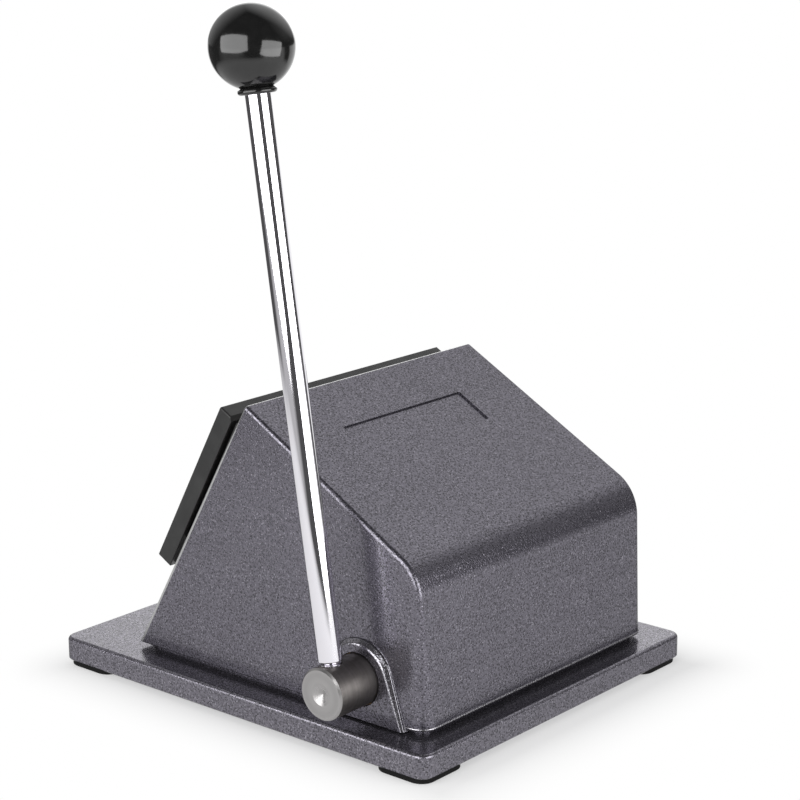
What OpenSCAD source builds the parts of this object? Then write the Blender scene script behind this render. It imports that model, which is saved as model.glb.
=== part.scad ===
// Circle paper cutter worked by a side lever.
// A cast housing stands on a base plate. The lever turns a cross shaft whose eccentric pushes a sprung punch
// through a guide plate into a die plate on the sloping front.
// The origin lies on the desk under the middle of the base. +X is the lever side, -Y faces the operator, +Z is up.

/* [Base plate] */
// Width of the base plate, side to side
base_w = 215; // [200:1:260]
// Depth of the base plate, front to back
base_d = 251; // [240:1:300]
// Thickness of the base plate
base_t = 12.5; // [9:0.5:16]
// Radius of the base plate's corners, seen from above
base_corner_r = 4; // [3:0.5:12]
// Radius of the base plate's top edge
base_edge_r = 2; // [0.5:0.5:3.5]
// Height of the raised seat that carries the housing
seat_h = 2.2; // [1:0.1:5]
// Distance from the housing's outer edge to the seat's outer edge
seat_inset = 4; // [2:0.5:5]
// Width of the raised seat's band
seat_band = 12; // [9:0.5:16]

/* [Feet] */
// Side of the square rubber feet
foot_w = 32; // [24:1:40]
// Height of the feet
foot_h = 3; // [3:0.5:12]
// Radius of the feet's corners
foot_corner_r = 6; // [2:0.5:9]
// Distance from the base plate's edge to the foot's edge
foot_inset = 1.5; // [0.5:0.5:8]
// Diameter of the foot screws
foot_screw_d = 4; // [3:0.5:5]
// Diameter of the foot screws' heads
foot_head_d = 8; // [6:0.5:10]
// Height of the foot screws' heads
foot_head_h = 1.5; // [1.2:0.1:1.6]
// Rubber left between the foot screw's head and the base plate
foot_web = 1.2; // [1:0.1:1.4]
// Depth of the foot screws' thread in the base plate
foot_thread = 6; // [4:0.5:7]

/* [Housing] */
// Width of the housing at its bottom edge
housing_w = 182; // [172:1:194]
// Distance from the middle of the base to the housing's front bottom edge
housing_front = 82.5; // [78:0.5:100]
// Distance from the middle of the base to the housing's rear bottom edge
housing_rear = 112; // [108:0.5:118]
// Length of the sloping front, from its bottom edge to the ridge
face_len = 160.5; // [154:0.5:180]
// Lean of the sloping front from the vertical; the roof is square to it
face_tilt = 29; // [26:0.5:31]
// Draft of the sides
side_draft = 1.4; // [0:0.1:3]
// Draft of the rear
rear_draft = 3.6; // [0:0.1:6]
// Thickness of the sides, roof and rear
wall = 6; // [4.5:0.5:8]
// Thickness of the front wall behind the sloping face
front_wall = 9; // [8:0.5:12]
// Depth of metal that is milled off the casting to make the flat face
face_cut = 1; // [0.5:0.1:2]
// Radius of the ridge and of the roof's side edges beside it
ridge_r = 2; // [1.5:0.5:5]
// Radius of the bend from the roof to the rear
rear_bend_r = 24; // [16:1:32]
// Radius of the roof's side edges at that bend
bend_side_r = 2.5; // [1.5:0.5:12]
// Radius of the rear upright corners
rear_corner_r = 9; // [7:0.5:16]
// Radius of the front upright corners
front_corner_r = 5; // [3:0.5:9]
// Radius of the corners inside the casting
core_r = 3; // [1.5:0.5:4]
// Height of the bevel along the housing's bottom edge
bottom_bevel = 1; // [0.5:0.1:2]

/* [Name plate recess] */
// Width of the bare recess on the roof
recess_w = 91.5; // [60:0.5:130]
// Length of the recess down the roof
recess_len = 23; // [12:0.5:40]
// Distance from the ridge down the roof to the recess
recess_drop = 30.4; // [20:0.2:45]
// Depth of the recess
recess_depth = 1; // [0.4:0.1:2]

/* [Housing bolts] */
// Diameter of the bolts that hold the housing on the base
bolt_d = 6; // [5:0.5:8]
// Diameter of those bolts' heads
bolt_head_d = 10; // [9:0.5:12]
// Height of those bolts' heads
bolt_head_h = 6; // [4:0.5:6.5]
// Depth of the bolts in the housing's bosses
bolt_bite = 18; // [12:1:22]
// Diameter of the bosses inside the housing
bolt_boss_d = 18; // [14:0.5:20]
// Height of those bosses
bolt_boss_h = 26; // [24:1:30]
// Distance of the front bolts from the housing's front bottom edge
bolt_front = 30; // [26:1:36]
// Distance of the rear bolts from the housing's rear bottom edge
bolt_rear = 15; // [14:0.5:16]

/* [Cross shaft] */
// Distance of the shaft ahead of the housing's rear bottom edge
shaft_back = 39.8; // [38:0.2:42]
// Height of the shaft's axis above the base plate
shaft_rise = 21.2; // [20.5:0.1:24]
// Diameter of the shaft at the lever
shaft_d = 26; // [22:0.5:27]
// Diameter of the shaft inside the housing
journal_d = 20; // [16:0.5:21]
// Length of the shaft that stands out of the boss
shaft_stub = 26; // [22:0.5:40]
// Bevel at the shaft's outer end
shaft_bevel = 1; // [0.5:0.1:2]
// Diameter of the turning centre in the shaft's end
centre_d = 6; // [3:0.5:9]
// Radius of the boss's arch round the shaft
boss_r = 20; // [18:0.5:24]
// Height of the boss above the housing's side
boss_proud = 3; // [2:0.1:5]
// Width of the bevel round the boss
boss_bevel = 2.5; // [1:0.1:2.6]
// Spread of the boss's sides from the vertical
boss_flare = 19; // [8:1:26]
// Reach of the boss's foot below the housing's bottom edge
boss_drop = 1.2; // [0:0.1:1.5]
// Depth of the lever side's boss, from its outer face to its inner face
boss_depth = 22; // [19:0.5:26]
// Depth of the far side's boss inside the wall
far_boss_depth = 18; // [14:0.5:24]
// Wall of the two bearing bushes
bush_wall = 3; // [2:0.25:3.5]
// Metal round the bushes inside the housing
bush_land = 5; // [4:0.5:6]
// Length of metal that hides the lever side's bush
bush_cover = 3; // [2:0.5:5]
// Thickness of the thrust washer
thrust_t = 2; // [1:0.25:3]
// Thickness of the retaining ring
ring_t = 1.5; // [1:0.25:2]
// Depth of the retaining ring's groove
ring_groove = 1; // [0.5:0.1:1.5]
// Height of the retaining ring above the shaft
ring_rise = 3; // [2:0.25:4]
// Length of the shaft between the retaining ring and its step
ring_shoulder = 3; // [2:0.5:6]

/* [Eccentric] */
// Diameter of the eccentric
cam_d = 40; // [38:0.5:42]
// Distance of the eccentric's middle from the shaft's axis
cam_throw = 6; // [4:0.25:6.5]
// Width of the eccentric
cam_w = 28; // [20:1:36]
// Swing of the lever, from rest to the end of the cut
lever_swing = 70; // [50:1:80]
// Width of the key between the shaft and the eccentric
key_w = 6; // [4:0.5:7]
// Depth of the key in the shaft
key_sink = 3.5; // [2.5:0.25:4]
// Height of the key above the shaft
key_rise = 2.5; // [1.5:0.25:3]
// Diameter of the set screw in the eccentric
set_screw_d = 6; // [4:0.5:8]

/* [Lever] */
// Lean of the lever towards the operator at rest
lever_lean = 8.6; // [0:0.2:15]
// Distance from the shaft's axis to the middle of the knob
lever_len = 303.3; // [240:0.1:360]
// Diameter of the rod
rod_d = 12; // [11:0.5:14]
// Distance of the rod's axis from the shaft's outer end
rod_inset = 9.5; // [8.5:0.25:11]
// Diameter of the threaded ends of the rod
stud_d = 10; // [8:0.5:10]
// Length of the bare neck between the shaft and the rod's shoulder
neck_len = 0.8; // [0.5:0.1:5]
// Depth of the rod's thread below the shaft's axis
stud_depth = 7; // [3:0.5:9]
// Diameter of the ball knob
knob_d = 40; // [36:0.5:50]
// Diameter of the knob's collar
collar_d = 18.4; // [18:0.2:22]
// Distance from the knob's middle to the end of its collar
collar_reach = 21.6; // [20.5:0.1:26]
// Wall of the metal insert in the knob
insert_wall = 2.5; // [1.5:0.25:3]
// Length of the metal insert
insert_len = 22; // [16:0.5:26]

/* [Die set] */
// Diameter of the cut circle
cut_d = 70; // [50:1:76]
// Width of the die plate
die_w = 169; // [164:1:176]
// Height of the die plate along the sloping face
die_h = 100; // [97:1:108]
// Thickness of the die plate
die_t = 9.6; // [9:0.2:14]
// Radius of the die plate's corners
die_corner_r = 1; // [0.5:0.25:4]
// Distance from the cut circle's middle to the die plate's lower edge
die_below = 45; // [44:0.5:50]
// Length of the die's cutting land
die_land = 4; // [2:0.25:6]
// Widening of the die behind its land, on the radius
die_relief = 1; // [0.5:0.1:2]
// Bevel along the die plate's upper edge that leads the paper in
lead_in = 2; // [1:0.25:4]
// Height of the paper slot between the guide plate and the die plate
slot_gap = 1.5; // [0.8:0.1:3]
// Thickness of the guide plate
guide_t = 4.7; // [4:0.1:8]
// Distance from the die plate's edges to the guide plate's edges
guide_inset = 2.5; // [1:0.25:4]
// Height of the fence that the paper stands on
fence_h = 9; // [8:0.25:9.5]
// Width of the ears at the fence's ends
ear_w = 22; // [18:0.5:26]
// Height of those ears
ear_h = 18; // [16:0.5:22]
// Distance of the die screws from the die plate's ends
die_screw_end = 14.5; // [12:0.5:16]
// Distance of the die screws from the die plate's upper and lower edges
die_screw_edge = 9; // [8:0.25:10]
// Diameter of the die screws
die_screw_d = 6; // [5:0.5:6]
// Diameter of the die screws' heads
die_head_d = 10; // [9:0.5:11]
// Height of the die screws' heads
die_head_h = 6; // [4:0.25:6]
// Diameter of the round spacers in the paper slot
spacer_d = 14; // [11:0.5:16]
// Diameter of the dowel pins
dowel_d = 4; // [3:0.5:5]
// Distance between the two dowel pins
dowel_span = 80; // [60:1:100]
// Depth of the dowel pins in the housing
dowel_bite = 6; // [4:0.5:7]
// Distance between the two guide plate screws
guide_screw_span = 148; // [142:1:152]
// Diameter of the guide plate screws
guide_screw_d = 5; // [4:0.5:6]
// Height of the guide plate screws' countersunk heads
guide_head_h = 2.5; // [2:0.1:3]

/* [Punch and ram] */
// Distance of the punch's face behind the guide plate's face at rest
punch_sink = 1; // [0.5:0.1:1.5]
// Length of the punch
punch_len = 34.5; // [32:0.5:40]
// Length of the punch's cutting band
punch_band = 18; // [14:0.5:22]
// Step from the cutting band to the punch's body, on the radius
punch_step = 1.5; // [0.5:0.1:3]
// Width of the flat rim at the punch's edge
punch_rim = 4; // [2:0.5:8]
// Depth of the hollow in the punch's face
punch_hollow = 1.5; // [0.5:0.1:3]
// Thickness of the crosshead
crosshead_t = 16; // [14:0.5:22]
// Diameter of the crosshead's middle
crosshead_d = 80; // [74:1:84]
// Diameter of the crosshead's ends
crosshead_end_d = 30; // [26:1:32]
// Distance between the two guide posts
post_span = 110; // [106:1:116]
// Diameter of the guide posts
post_d = 12; // [10:0.5:13]
// Step from the guide posts to their threads, on the radius
post_step = 1; // [0.5:0.1:1.5]
// Depth of the posts' threads in the front wall
post_bite = 7; // [5:0.25:7.5]
// Wall of the crosshead's bushes
post_bush_wall = 3; // [2:0.25:4]
// Diameter of the washers behind the crosshead
post_washer_d = 20; // [18:0.5:22]
// Thickness of those washers
post_washer_t = 2; // [1.5:0.25:3]
// Width of the post nuts across flats
post_nut_w = 16; // [14:0.5:18]
// Height of the post nuts
post_nut_h = 8; // [6:0.5:10]
// Diameter of the ram's column
ram_d = 40; // [34:1:42]
// Diameter of the ram's flange
flange_d = 68; // [66:1:72]
// Thickness of the ram's flange
flange_t = 8; // [6:0.5:12]
// Radius of the circle of ram screws
ram_screw_r = 27; // [26.5:0.5:28]
// Radius of the circle of punch screws
punch_screw_r = 20; // [16:0.5:20]
// Diameter of the ram screws and punch screws
ram_screw_d = 6; // [5:0.5:6]
// Diameter of those screws' heads
ram_head_d = 10; // [8.5:0.5:10]
// Height of those screws' heads
ram_head_h = 6; // [4:0.25:6]
// Depth of those screws' threads
ram_screw_bite = 11; // [8:0.5:12]
// Diameter of the hardened pad that meets the eccentric
pad_d = 30; // [24:1:31]
// Thickness of the pad
pad_t = 5; // [3:0.5:8]
// Depth of the pad in the ram
pad_sink = 3; // [1.5:0.25:3.5]

/* [Return springs] */
// Diameter of the spring wire
spring_wire = 1.8; // [1.2:0.1:2]
// Mean diameter of the springs
spring_d = 16.4; // [15:0.2:17]
// Turns of each spring
spring_turns = 5.5; // [4:0.25:6]

/* [Fits] */
// Running clearance on the radius
run_gap = 0.04; // [0.02:0.01:0.08]
// Clearance on the radius round screws and dowels
screw_gap = 0.05; // [0.03:0.01:0.1]
// Clearance on the radius of bushes and inserts in their seats
seat_gap = 0.02; // [0.01:0.01:0.04]
// Clearance on the radius of a free hole
free_gap = 0.3; // [0.2:0.05:0.5]
// Gap between the eccentric and the pad, with the lever half way
cam_gap = 0.3; // [0.2:0.05:0.5]
// End play of the shaft and rest gap of the crosshead
end_play = 0.15; // [0.1:0.05:0.3]
// Gap at each end of the springs
spring_rest = 0.3; // [0.2:0.05:0.4]

/* [Hidden] */
$fn = 64;
hull_fn = 32;
spring_rings = 8;
spring_sides = 6;
overcut = 1;
sliver = 0.5;
boss_bite = 2;
lead_tilt = 45;

base_top = foot_h + base_t;
housing_z = base_top + seat_h;
shaft_y = housing_rear - shaft_back;
shaft_z = base_top + shaft_rise;
axis_s = (shaft_y + housing_front) * sin(face_tilt) + (shaft_z - housing_z) * cos(face_tilt);
shaft_t = (shaft_z - housing_z) * sin(face_tilt) - (shaft_y + housing_front) * cos(face_tilt);

boss_face_x = half_width(shaft_z) + boss_proud;
boss_inner_x = boss_face_x - boss_depth;
far_wall_x = -(half_width(shaft_z) - wall);
far_boss_x = far_wall_x + far_boss_depth;
shaft_end_x = boss_face_x + shaft_stub;
lever_x = shaft_end_x - rod_inset;
ring_x = boss_inner_x - thrust_t - end_play - ring_t;
step_x = ring_x - ring_shoulder;
bush_r = shaft_d / 2 + bush_wall;
far_bush_r = journal_d / 2 + bush_wall;

stroke = 2 * cam_throw * sin(lever_swing / 2);
cam_r = cam_d / 2;

slot_t = guide_t + slot_gap;
die_face_t = slot_t + die_t;
die_head_t = die_face_t - die_head_h;
die_screw_x = die_w / 2 - die_screw_end;
die_low_v = die_screw_edge - die_below;
die_high_v = die_h - die_below - die_screw_edge;
fence_v = fence_h / 2 - die_below;

punch_r = cut_d / 2 - run_gap;
punch_face_t = guide_t - punch_sink;
crosshead_front_t = punch_face_t - punch_len;
crosshead_rear_t = crosshead_front_t - crosshead_t;
flange_rear_t = crosshead_rear_t - flange_t;
post_end_t = crosshead_rear_t - end_play;
pad_face_t = shaft_t + cam_r + cam_gap - stroke / 2;
ram_end_t = pad_face_t + pad_t - pad_sink;
post_r = post_d / 2;
post_thread_r = post_r - post_step;
post_bush_r = post_r + run_gap + post_bush_wall;

spring_low_t = crosshead_front_t + spring_rest + spring_wire / 2;
spring_high_t = -front_wall - spring_rest - spring_wire / 2;
spring_steps = round(spring_turns * spring_rings);
spring_points = [for (i = [0:spring_steps]) spring_point(i / spring_steps)];
spring_least_gap = min([
    for (i = [0:spring_steps], j = [0:spring_steps])
        if (j - i > spring_rings / 2) norm(spring_points[j] - spring_points[i]) - spring_wire
]);

iron = "#6a696f";
black_steel = "#2f2f31";
steel = "#b9bcc0";
dark_steel = "#54565a";
chrome = "#dcdfe3";
bronze = "#b5854b";
rubber = "#1c1c1d";
phenolic = "#121214";

// Half width of the housing at a height, which the draft of its sides sets
function half_width(z) = housing_w / 2 - (z - housing_z) * tan(side_draft);

// Place in Y and Z of a point at s up the sloping face and t out of it
function face_y(s, t) = s * sin(face_tilt) - t * cos(face_tilt) - housing_front;
function face_z(s, t) = s * cos(face_tilt) + t * sin(face_tilt) + housing_z;

// Centre line of a return spring, from its low end to its high end
function spring_point(share) = [
    spring_d / 2 * cos(360 * spring_turns * share),
    spring_d / 2 * sin(360 * spring_turns * share),
    spring_low_t + (spring_high_t - spring_low_t) * share
];

// Frame of the sloping face: X across, Y up the face, Z straight out of it
module on_face() {
    translate([0, -housing_front, housing_z]) rotate([90 - face_tilt, 0, 0]) children();
}

// Frame of the punch: the sloping face's frame, moved up to the cut circle's middle
module on_axis() {
    on_face() translate([0, axis_s, 0]) children();
}

// Frame of the cross shaft: Z runs along the shaft towards the lever side
module on_shaft(x) {
    translate([x, shaft_y, shaft_z]) rotate([0, 90, 0]) children();
}

// Frame of the lever at rest: Z runs along the rod, from the shaft's axis
module on_lever() {
    translate([lever_x, shaft_y, shaft_z]) rotate([lever_lean, 0, 0]) children();
}

module at_feet() {
    for (x = [-1, 1], y = [-1, 1]) at_foot(x, y) children();
}

module at_foot(x, y) {
    reach = foot_inset + foot_w / 2;
    translate([x * (base_w / 2 - reach), y * (base_d / 2 - reach), 0]) children();
}

module at_bolts() {
    bolt_x = housing_w / 2 - wall - bolt_boss_d / 2 + boss_bite;
    for (x = [-bolt_x, bolt_x], y = [bolt_front - housing_front, housing_rear - bolt_rear])
        translate([x, y, 0]) children();
}

module at_die_screws() {
    for (x = [-die_screw_x, die_screw_x], v = [die_low_v, die_high_v]) translate([x, v, 0]) children();
}

module at_dowels() {
    for (x = [-dowel_span / 2, dowel_span / 2]) translate([x, fence_v, 0]) children();
}

module at_guide_screws() {
    for (x = [-guide_screw_span / 2, guide_screw_span / 2]) translate([x, 0, 0]) children();
}

module at_posts() {
    for (x = [-post_span / 2, post_span / 2]) translate([x, 0, 0]) children();
}

module at_ring(radius, first) {
    for (turn = [0:90:270]) rotate(first + turn) translate([radius, 0, 0]) children();
}

// Cylinder that starts at z = from and ends at z = to
module rod(radius, from, to) {
    translate([0, 0, from]) cylinder(r = radius, h = to - from);
}

// Ring that starts at z = from and ends at z = to
module tube(outer, inner, from, to) {
    difference() {
        rod(outer, from, to);
        rod(inner, from - overcut, to + overcut);
    }
}

// Socket head screw whose head sits on z = 0 and whose shank points down
module socket_screw(d, head_d, head_h, reach) {
    difference() {
        union() {
            rod(head_d / 2, 0, head_h);
            rod(d / 2, -reach, sliver);
        }
        translate([0, 0, head_h / 2]) cylinder(d = d, h = head_h, $fn = 6);
    }
}

// Rectangle with round corners
module rounded_rect(w, d, r) {
    square([w - 2 * r, d], center = true);
    square([w, d - 2 * r], center = true);
    for (x = [-1, 1], y = [-1, 1]) translate([x * (w / 2 - r), y * (d / 2 - r)]) circle(r = r);
}

// Body of the housing or of its core, set in by skin from the outside and by front_skin from the sloping face
module housing_form(skin, front_skin, top_r, bend_r, side_r, rear_r, front_r, drop) {
    top_s = face_len - skin - top_r;
    top_t = -front_skin - top_r;
    top_z = face_z(top_s, top_t);
    rear_y = housing_rear - skin / cos(rear_draft);
    bend_s = face_len - skin - bend_r;
    bend_lean = (bend_s * sin(face_tilt) - housing_front - rear_y) * cos(rear_draft);
    bend_rise = bend_s * cos(face_tilt) * sin(rear_draft);
    bend_t = (bend_r + bend_lean + bend_rise) / cos(face_tilt + rear_draft);
    bend_z = face_z(bend_s, bend_t);
    front_y = front_skin / cos(face_tilt) - housing_front + (bottom_bevel - drop) * tan(face_tilt);
    low_x = housing_w / 2 - skin;
    hull() {
        for (side = [-1, 1]) {
            translate([side * (half_width(top_z) - skin - top_r), face_y(top_s, top_t), top_z])
                sphere(r = top_r, $fn = hull_fn);
            translate([side * (half_width(bend_z) - skin - side_r), face_y(bend_s, bend_t), bend_z])
                rotate([0, 90, 0]) rotate_extrude($fn = hull_fn)
                    translate([bend_r - side_r, 0]) circle(r = side_r, $fn = hull_fn);
            translate([side * (low_x - front_r), front_y + front_r, housing_z - drop])
                cylinder(r1 = front_r - bottom_bevel, r2 = front_r, h = bottom_bevel, $fn = hull_fn);
            translate([side * (low_x - rear_r), rear_y - rear_r, housing_z - drop])
                cylinder(r1 = rear_r - bottom_bevel, r2 = rear_r, h = bottom_bevel, $fn = hull_fn);
        }
    }
}

module housing_outside() {
    housing_form(0, -face_cut, ridge_r, rear_bend_r, bend_side_r, rear_corner_r, front_corner_r, 0);
}

module housing_core() {
    difference() {
        housing_form(wall, front_wall - face_cut, core_r, rear_bend_r - wall, core_r,
            max(rear_corner_r - wall, core_r), core_r, 2 * bottom_bevel);
        ahead_of(-front_wall);
    }
}

// Everything in front of the plane at t out of the sloping face
module ahead_of(t) {
    on_face() translate([-housing_w, -face_len, t]) cube([2 * housing_w, 3 * face_len, face_len]);
}

// Outline of the boss, an arch over the shaft with sides that spread down past the housing's bottom edge
module boss_outline(r) {
    side_y = r * cos(boss_flare);
    side_z = r * sin(boss_flare);
    low_z = housing_z - shaft_z - boss_drop;
    low_y = side_y + (side_z - low_z) * tan(boss_flare);
    translate([shaft_y, shaft_z]) {
        intersection() {
            circle(r = r, $fn = hull_fn);
            translate([-r, low_z]) square([2 * r, r - low_z]);
        }
        polygon([[-side_y, side_z], [side_y, side_z], [low_y, low_z], [-low_y, low_z]]);
    }
}

module boss_outside() {
    root_x = boss_face_x - boss_proud - wall / 2;
    hull() {
        translate([root_x, 0, 0]) rotate([90, 0, 90])
            linear_extrude(boss_face_x - boss_bevel - root_x) boss_outline(boss_r);
        translate([root_x, 0, 0]) rotate([90, 0, 90])
            linear_extrude(boss_face_x - root_x) boss_outline(boss_r - boss_bevel);
    }
}

// Bosses inside the housing for the bushes and the base bolts
module inner_bosses() {
    on_shaft(boss_inner_x) cylinder(r = bush_r + bush_land, h = boss_face_x - boss_proud - boss_inner_x);
    on_shaft(far_wall_x - wall / 2) cylinder(r = far_bush_r + bush_land, h = far_boss_depth + wall / 2);
    at_bolts() rod(bolt_boss_d / 2, housing_z, housing_z + bolt_boss_h);
}

module face_holes() {
    on_axis() {
        rod(cut_d / 2 + die_relief + run_gap, -front_wall - overcut, overcut);
        at_die_screws() rod(die_screw_d / 2 + screw_gap, -front_wall - overcut, overcut);
        at_dowels() rod(dowel_d / 2 + screw_gap, -dowel_bite, overcut);
        at_guide_screws() rod(guide_screw_d / 2 + screw_gap, -front_wall - overcut, overcut);
        at_posts() rod(post_thread_r + screw_gap, -front_wall - overcut, -front_wall + post_bite);
    }
}

module shaft_holes() {
    bush_end_x = boss_face_x - bush_cover;
    on_shaft(boss_inner_x - overcut) cylinder(r = bush_r + seat_gap, h = bush_end_x - boss_inner_x + overcut);
    on_shaft(boss_inner_x) cylinder(d = shaft_d + 2 * free_gap, h = boss_depth + overcut);
    on_shaft(far_wall_x) cylinder(r = far_bush_r + seat_gap, h = far_boss_depth + overcut);
}

module roof_recess() {
    on_face() translate([-recess_w / 2, face_len - recess_depth, -recess_drop - recess_len])
        cube([recess_w, recess_depth + overcut, recess_len]);
}

module base_body() {
    for_x = base_w / 2 - base_corner_r;
    for_y = base_d / 2 - base_corner_r;
    hull() {
        for (x = [-for_x, for_x], y = [-for_y, for_y]) translate([x, y, foot_h]) {
            cylinder(r = base_corner_r, h = base_t - base_edge_r, $fn = hull_fn);
            translate([0, 0, base_t - base_edge_r]) rotate_extrude($fn = hull_fn)
                translate([base_corner_r - base_edge_r, 0]) circle(r = base_edge_r, $fn = hull_fn);
        }
    }
}

module housing_seat() {
    seat_w = housing_w - 2 * seat_inset;
    seat_d = housing_front + housing_rear - 2 * seat_inset;
    corner_r = rear_corner_r - seat_inset;
    translate([0, (housing_rear - housing_front) / 2, base_top - sliver]) linear_extrude(seat_h + sliver)
        difference() {
            rounded_rect(seat_w, seat_d, corner_r);
            square([seat_w - 2 * seat_band, seat_d - 2 * seat_band], center = true);
        }
    at_bolts() rod(bolt_boss_d / 2, base_top - sliver, housing_z);
}

module base_plate() {
    color(iron) difference() {
        union() {
            base_body();
            housing_seat();
        }
        at_bolts() rod(bolt_d / 2 + free_gap, foot_h - overcut, housing_z + overcut);
        at_bolts() rod(bolt_head_d / 2 + free_gap, foot_h - overcut, foot_h + bolt_head_h);
        at_feet() rod(foot_screw_d / 2 + screw_gap, foot_h - overcut, foot_h + foot_thread);
    }
}

module foot(x, y) {
    head_z = foot_h - foot_web;
    color(rubber) at_foot(x, y) difference() {
        linear_extrude(foot_h) rounded_rect(foot_w, foot_w, foot_corner_r);
        rod(foot_head_d / 2 + free_gap, -overcut, head_z);
        rod(foot_screw_d / 2 + screw_gap, -overcut, foot_h + overcut);
    }
}

module foot_front_left() {
    foot(-1, -1);
}

module foot_front_right() {
    foot(1, -1);
}

module foot_rear_left() {
    foot(-1, 1);
}

module foot_rear_right() {
    foot(1, 1);
}

module foot_screws() {
    color(steel) at_feet() translate([0, 0, foot_h - foot_web]) mirror([0, 0, 1])
        socket_screw(foot_screw_d, foot_head_d, foot_head_h, foot_web + foot_thread);
}

module housing() {
    color(iron) difference() {
        union() {
            difference() {
                housing_outside();
                housing_core();
            }
            intersection() {
                inner_bosses();
                housing_outside();
            }
            boss_outside();
        }
        ahead_of(0);
        face_holes();
        shaft_holes();
        roof_recess();
        at_bolts() rod(bolt_d / 2 + screw_gap, housing_z - overcut, housing_z + bolt_bite + overcut);
    }
}

module housing_bolts() {
    seat_z = foot_h + bolt_head_h;
    color(steel) at_bolts() translate([0, 0, seat_z]) mirror([0, 0, 1])
        socket_screw(bolt_d, bolt_head_d, bolt_head_h, housing_z + bolt_bite - seat_z);
}

module bush_lever_side() {
    color(bronze) on_shaft(boss_inner_x)
        tube(bush_r, shaft_d / 2 + run_gap, 0, boss_depth - bush_cover);
}

module bush_far_side() {
    color(bronze) on_shaft(far_wall_x) tube(far_bush_r, journal_d / 2 + run_gap, 0, far_boss_depth);
}

module thrust_washer() {
    color(bronze) on_shaft(boss_inner_x - thrust_t)
        tube(shaft_d / 2 + ring_rise + thrust_t, shaft_d / 2 + run_gap, 0, thrust_t);
}

module guide_plate() {
    low_v = guide_inset - die_below;
    color(black_steel) on_axis() difference() {
        translate([guide_inset - die_w / 2, low_v, 0])
            cube([die_w - 2 * guide_inset, die_h - 2 * guide_inset, guide_t]);
        rod(cut_d / 2, -overcut, guide_t + overcut);
        at_die_screws() rod(die_screw_d / 2 + free_gap, -overcut, guide_t + overcut);
        at_dowels() rod(dowel_d / 2 + screw_gap, -overcut, guide_t + overcut);
        at_guide_screws() countersunk(screw_gap);
    }
}

// Countersunk screw flush with the guide plate's face, or its hole when it is swollen
module countersunk(swell) {
    head_r = guide_screw_d / 2 + guide_head_h;
    rod(guide_screw_d / 2 + swell, -overcut, guide_t);
    translate([0, 0, guide_t - guide_head_h])
        cylinder(r1 = guide_screw_d / 2 + swell, r2 = head_r + swell, h = guide_head_h);
}

module guide_plate_screws() {
    color(steel) on_axis() at_guide_screws() difference() {
        union() {
            countersunk(0);
            rod(guide_screw_d / 2, overcut - front_wall, 0);
        }
        translate([0, 0, guide_t - guide_head_h / 2]) cylinder(d = guide_screw_d, h = guide_head_h, $fn = 6);
    }
}

module die_plate() {
    color(black_steel) on_axis() difference() {
        translate([0, die_h / 2 - die_below, slot_t]) linear_extrude(die_t)
            rounded_rect(die_w, die_h, die_corner_r);
        rod(cut_d / 2, slot_t - overcut, die_face_t + overcut);
        rod(cut_d / 2 + die_relief, slot_t + die_land, die_face_t + overcut);
        at_die_screws() rod(die_screw_d / 2 + free_gap, slot_t - overcut, die_face_t + overcut);
        at_die_screws() rod(die_head_d / 2 + free_gap, die_head_t, die_face_t + overcut);
        at_dowels() rod(dowel_d / 2 + screw_gap, slot_t - overcut, die_face_t + overcut);
        translate([0, die_h - die_below, slot_t]) rotate([lead_tilt, 0, 0])
            cube([die_w + 2 * overcut, lead_in / cos(lead_tilt), lead_in / cos(lead_tilt)], center = true);
    }
}

module die_screws() {
    color(dark_steel) on_axis() at_die_screws() translate([0, 0, die_head_t])
        socket_screw(die_screw_d, die_head_d, die_head_h, die_head_t + front_wall - overcut);
}

module dowel_pins() {
    color(steel) on_axis() at_dowels() rod(dowel_d / 2, sliver - dowel_bite, die_face_t - sliver);
}

module slot_fence() {
    strip_w = die_w - 2 * guide_inset;
    strip_h = fence_h - guide_inset;
    color(black_steel) on_axis() translate([0, 0, guide_t]) difference() {
        linear_extrude(slot_gap) translate([-strip_w / 2, guide_inset - die_below]) {
            square([strip_w, strip_h]);
            square([ear_w, ear_h]);
            translate([strip_w - ear_w, 0]) square([ear_w, ear_h]);
        }
        at_die_screws() rod(die_screw_d / 2 + free_gap, -overcut, slot_gap + overcut);
        at_dowels() rod(dowel_d / 2 + screw_gap, -overcut, slot_gap + overcut);
    }
}

module slot_spacers() {
    color(black_steel) on_axis() for (x = [-die_screw_x, die_screw_x]) translate([x, die_high_v, 0])
        tube(spacer_d / 2, die_screw_d / 2 + free_gap, guide_t, slot_t);
}

module guide_post(side) {
    color(steel) on_axis() translate([side * post_span / 2, 0, 0]) {
        rod(post_thread_r, -front_wall, -front_wall + post_bite - sliver);
        rod(post_r, post_end_t, -front_wall);
        rod(post_thread_r, post_end_t - post_washer_t - post_nut_h - overcut, post_end_t);
    }
}

module guide_post_left() {
    guide_post(-1);
}

module guide_post_right() {
    guide_post(1);
}

module post_washers() {
    color(steel) on_axis() at_posts()
        tube(post_washer_d / 2, post_thread_r + screw_gap, post_end_t - post_washer_t, post_end_t);
}

module post_nuts() {
    nut_t = post_end_t - post_washer_t - post_nut_h;
    color(steel) on_axis() at_posts() difference() {
        translate([0, 0, nut_t]) cylinder(d = post_nut_w / cos(30), h = post_nut_h, $fn = 6);
        rod(post_thread_r + screw_gap, nut_t - overcut, nut_t + post_nut_h + overcut);
    }
}

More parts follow.
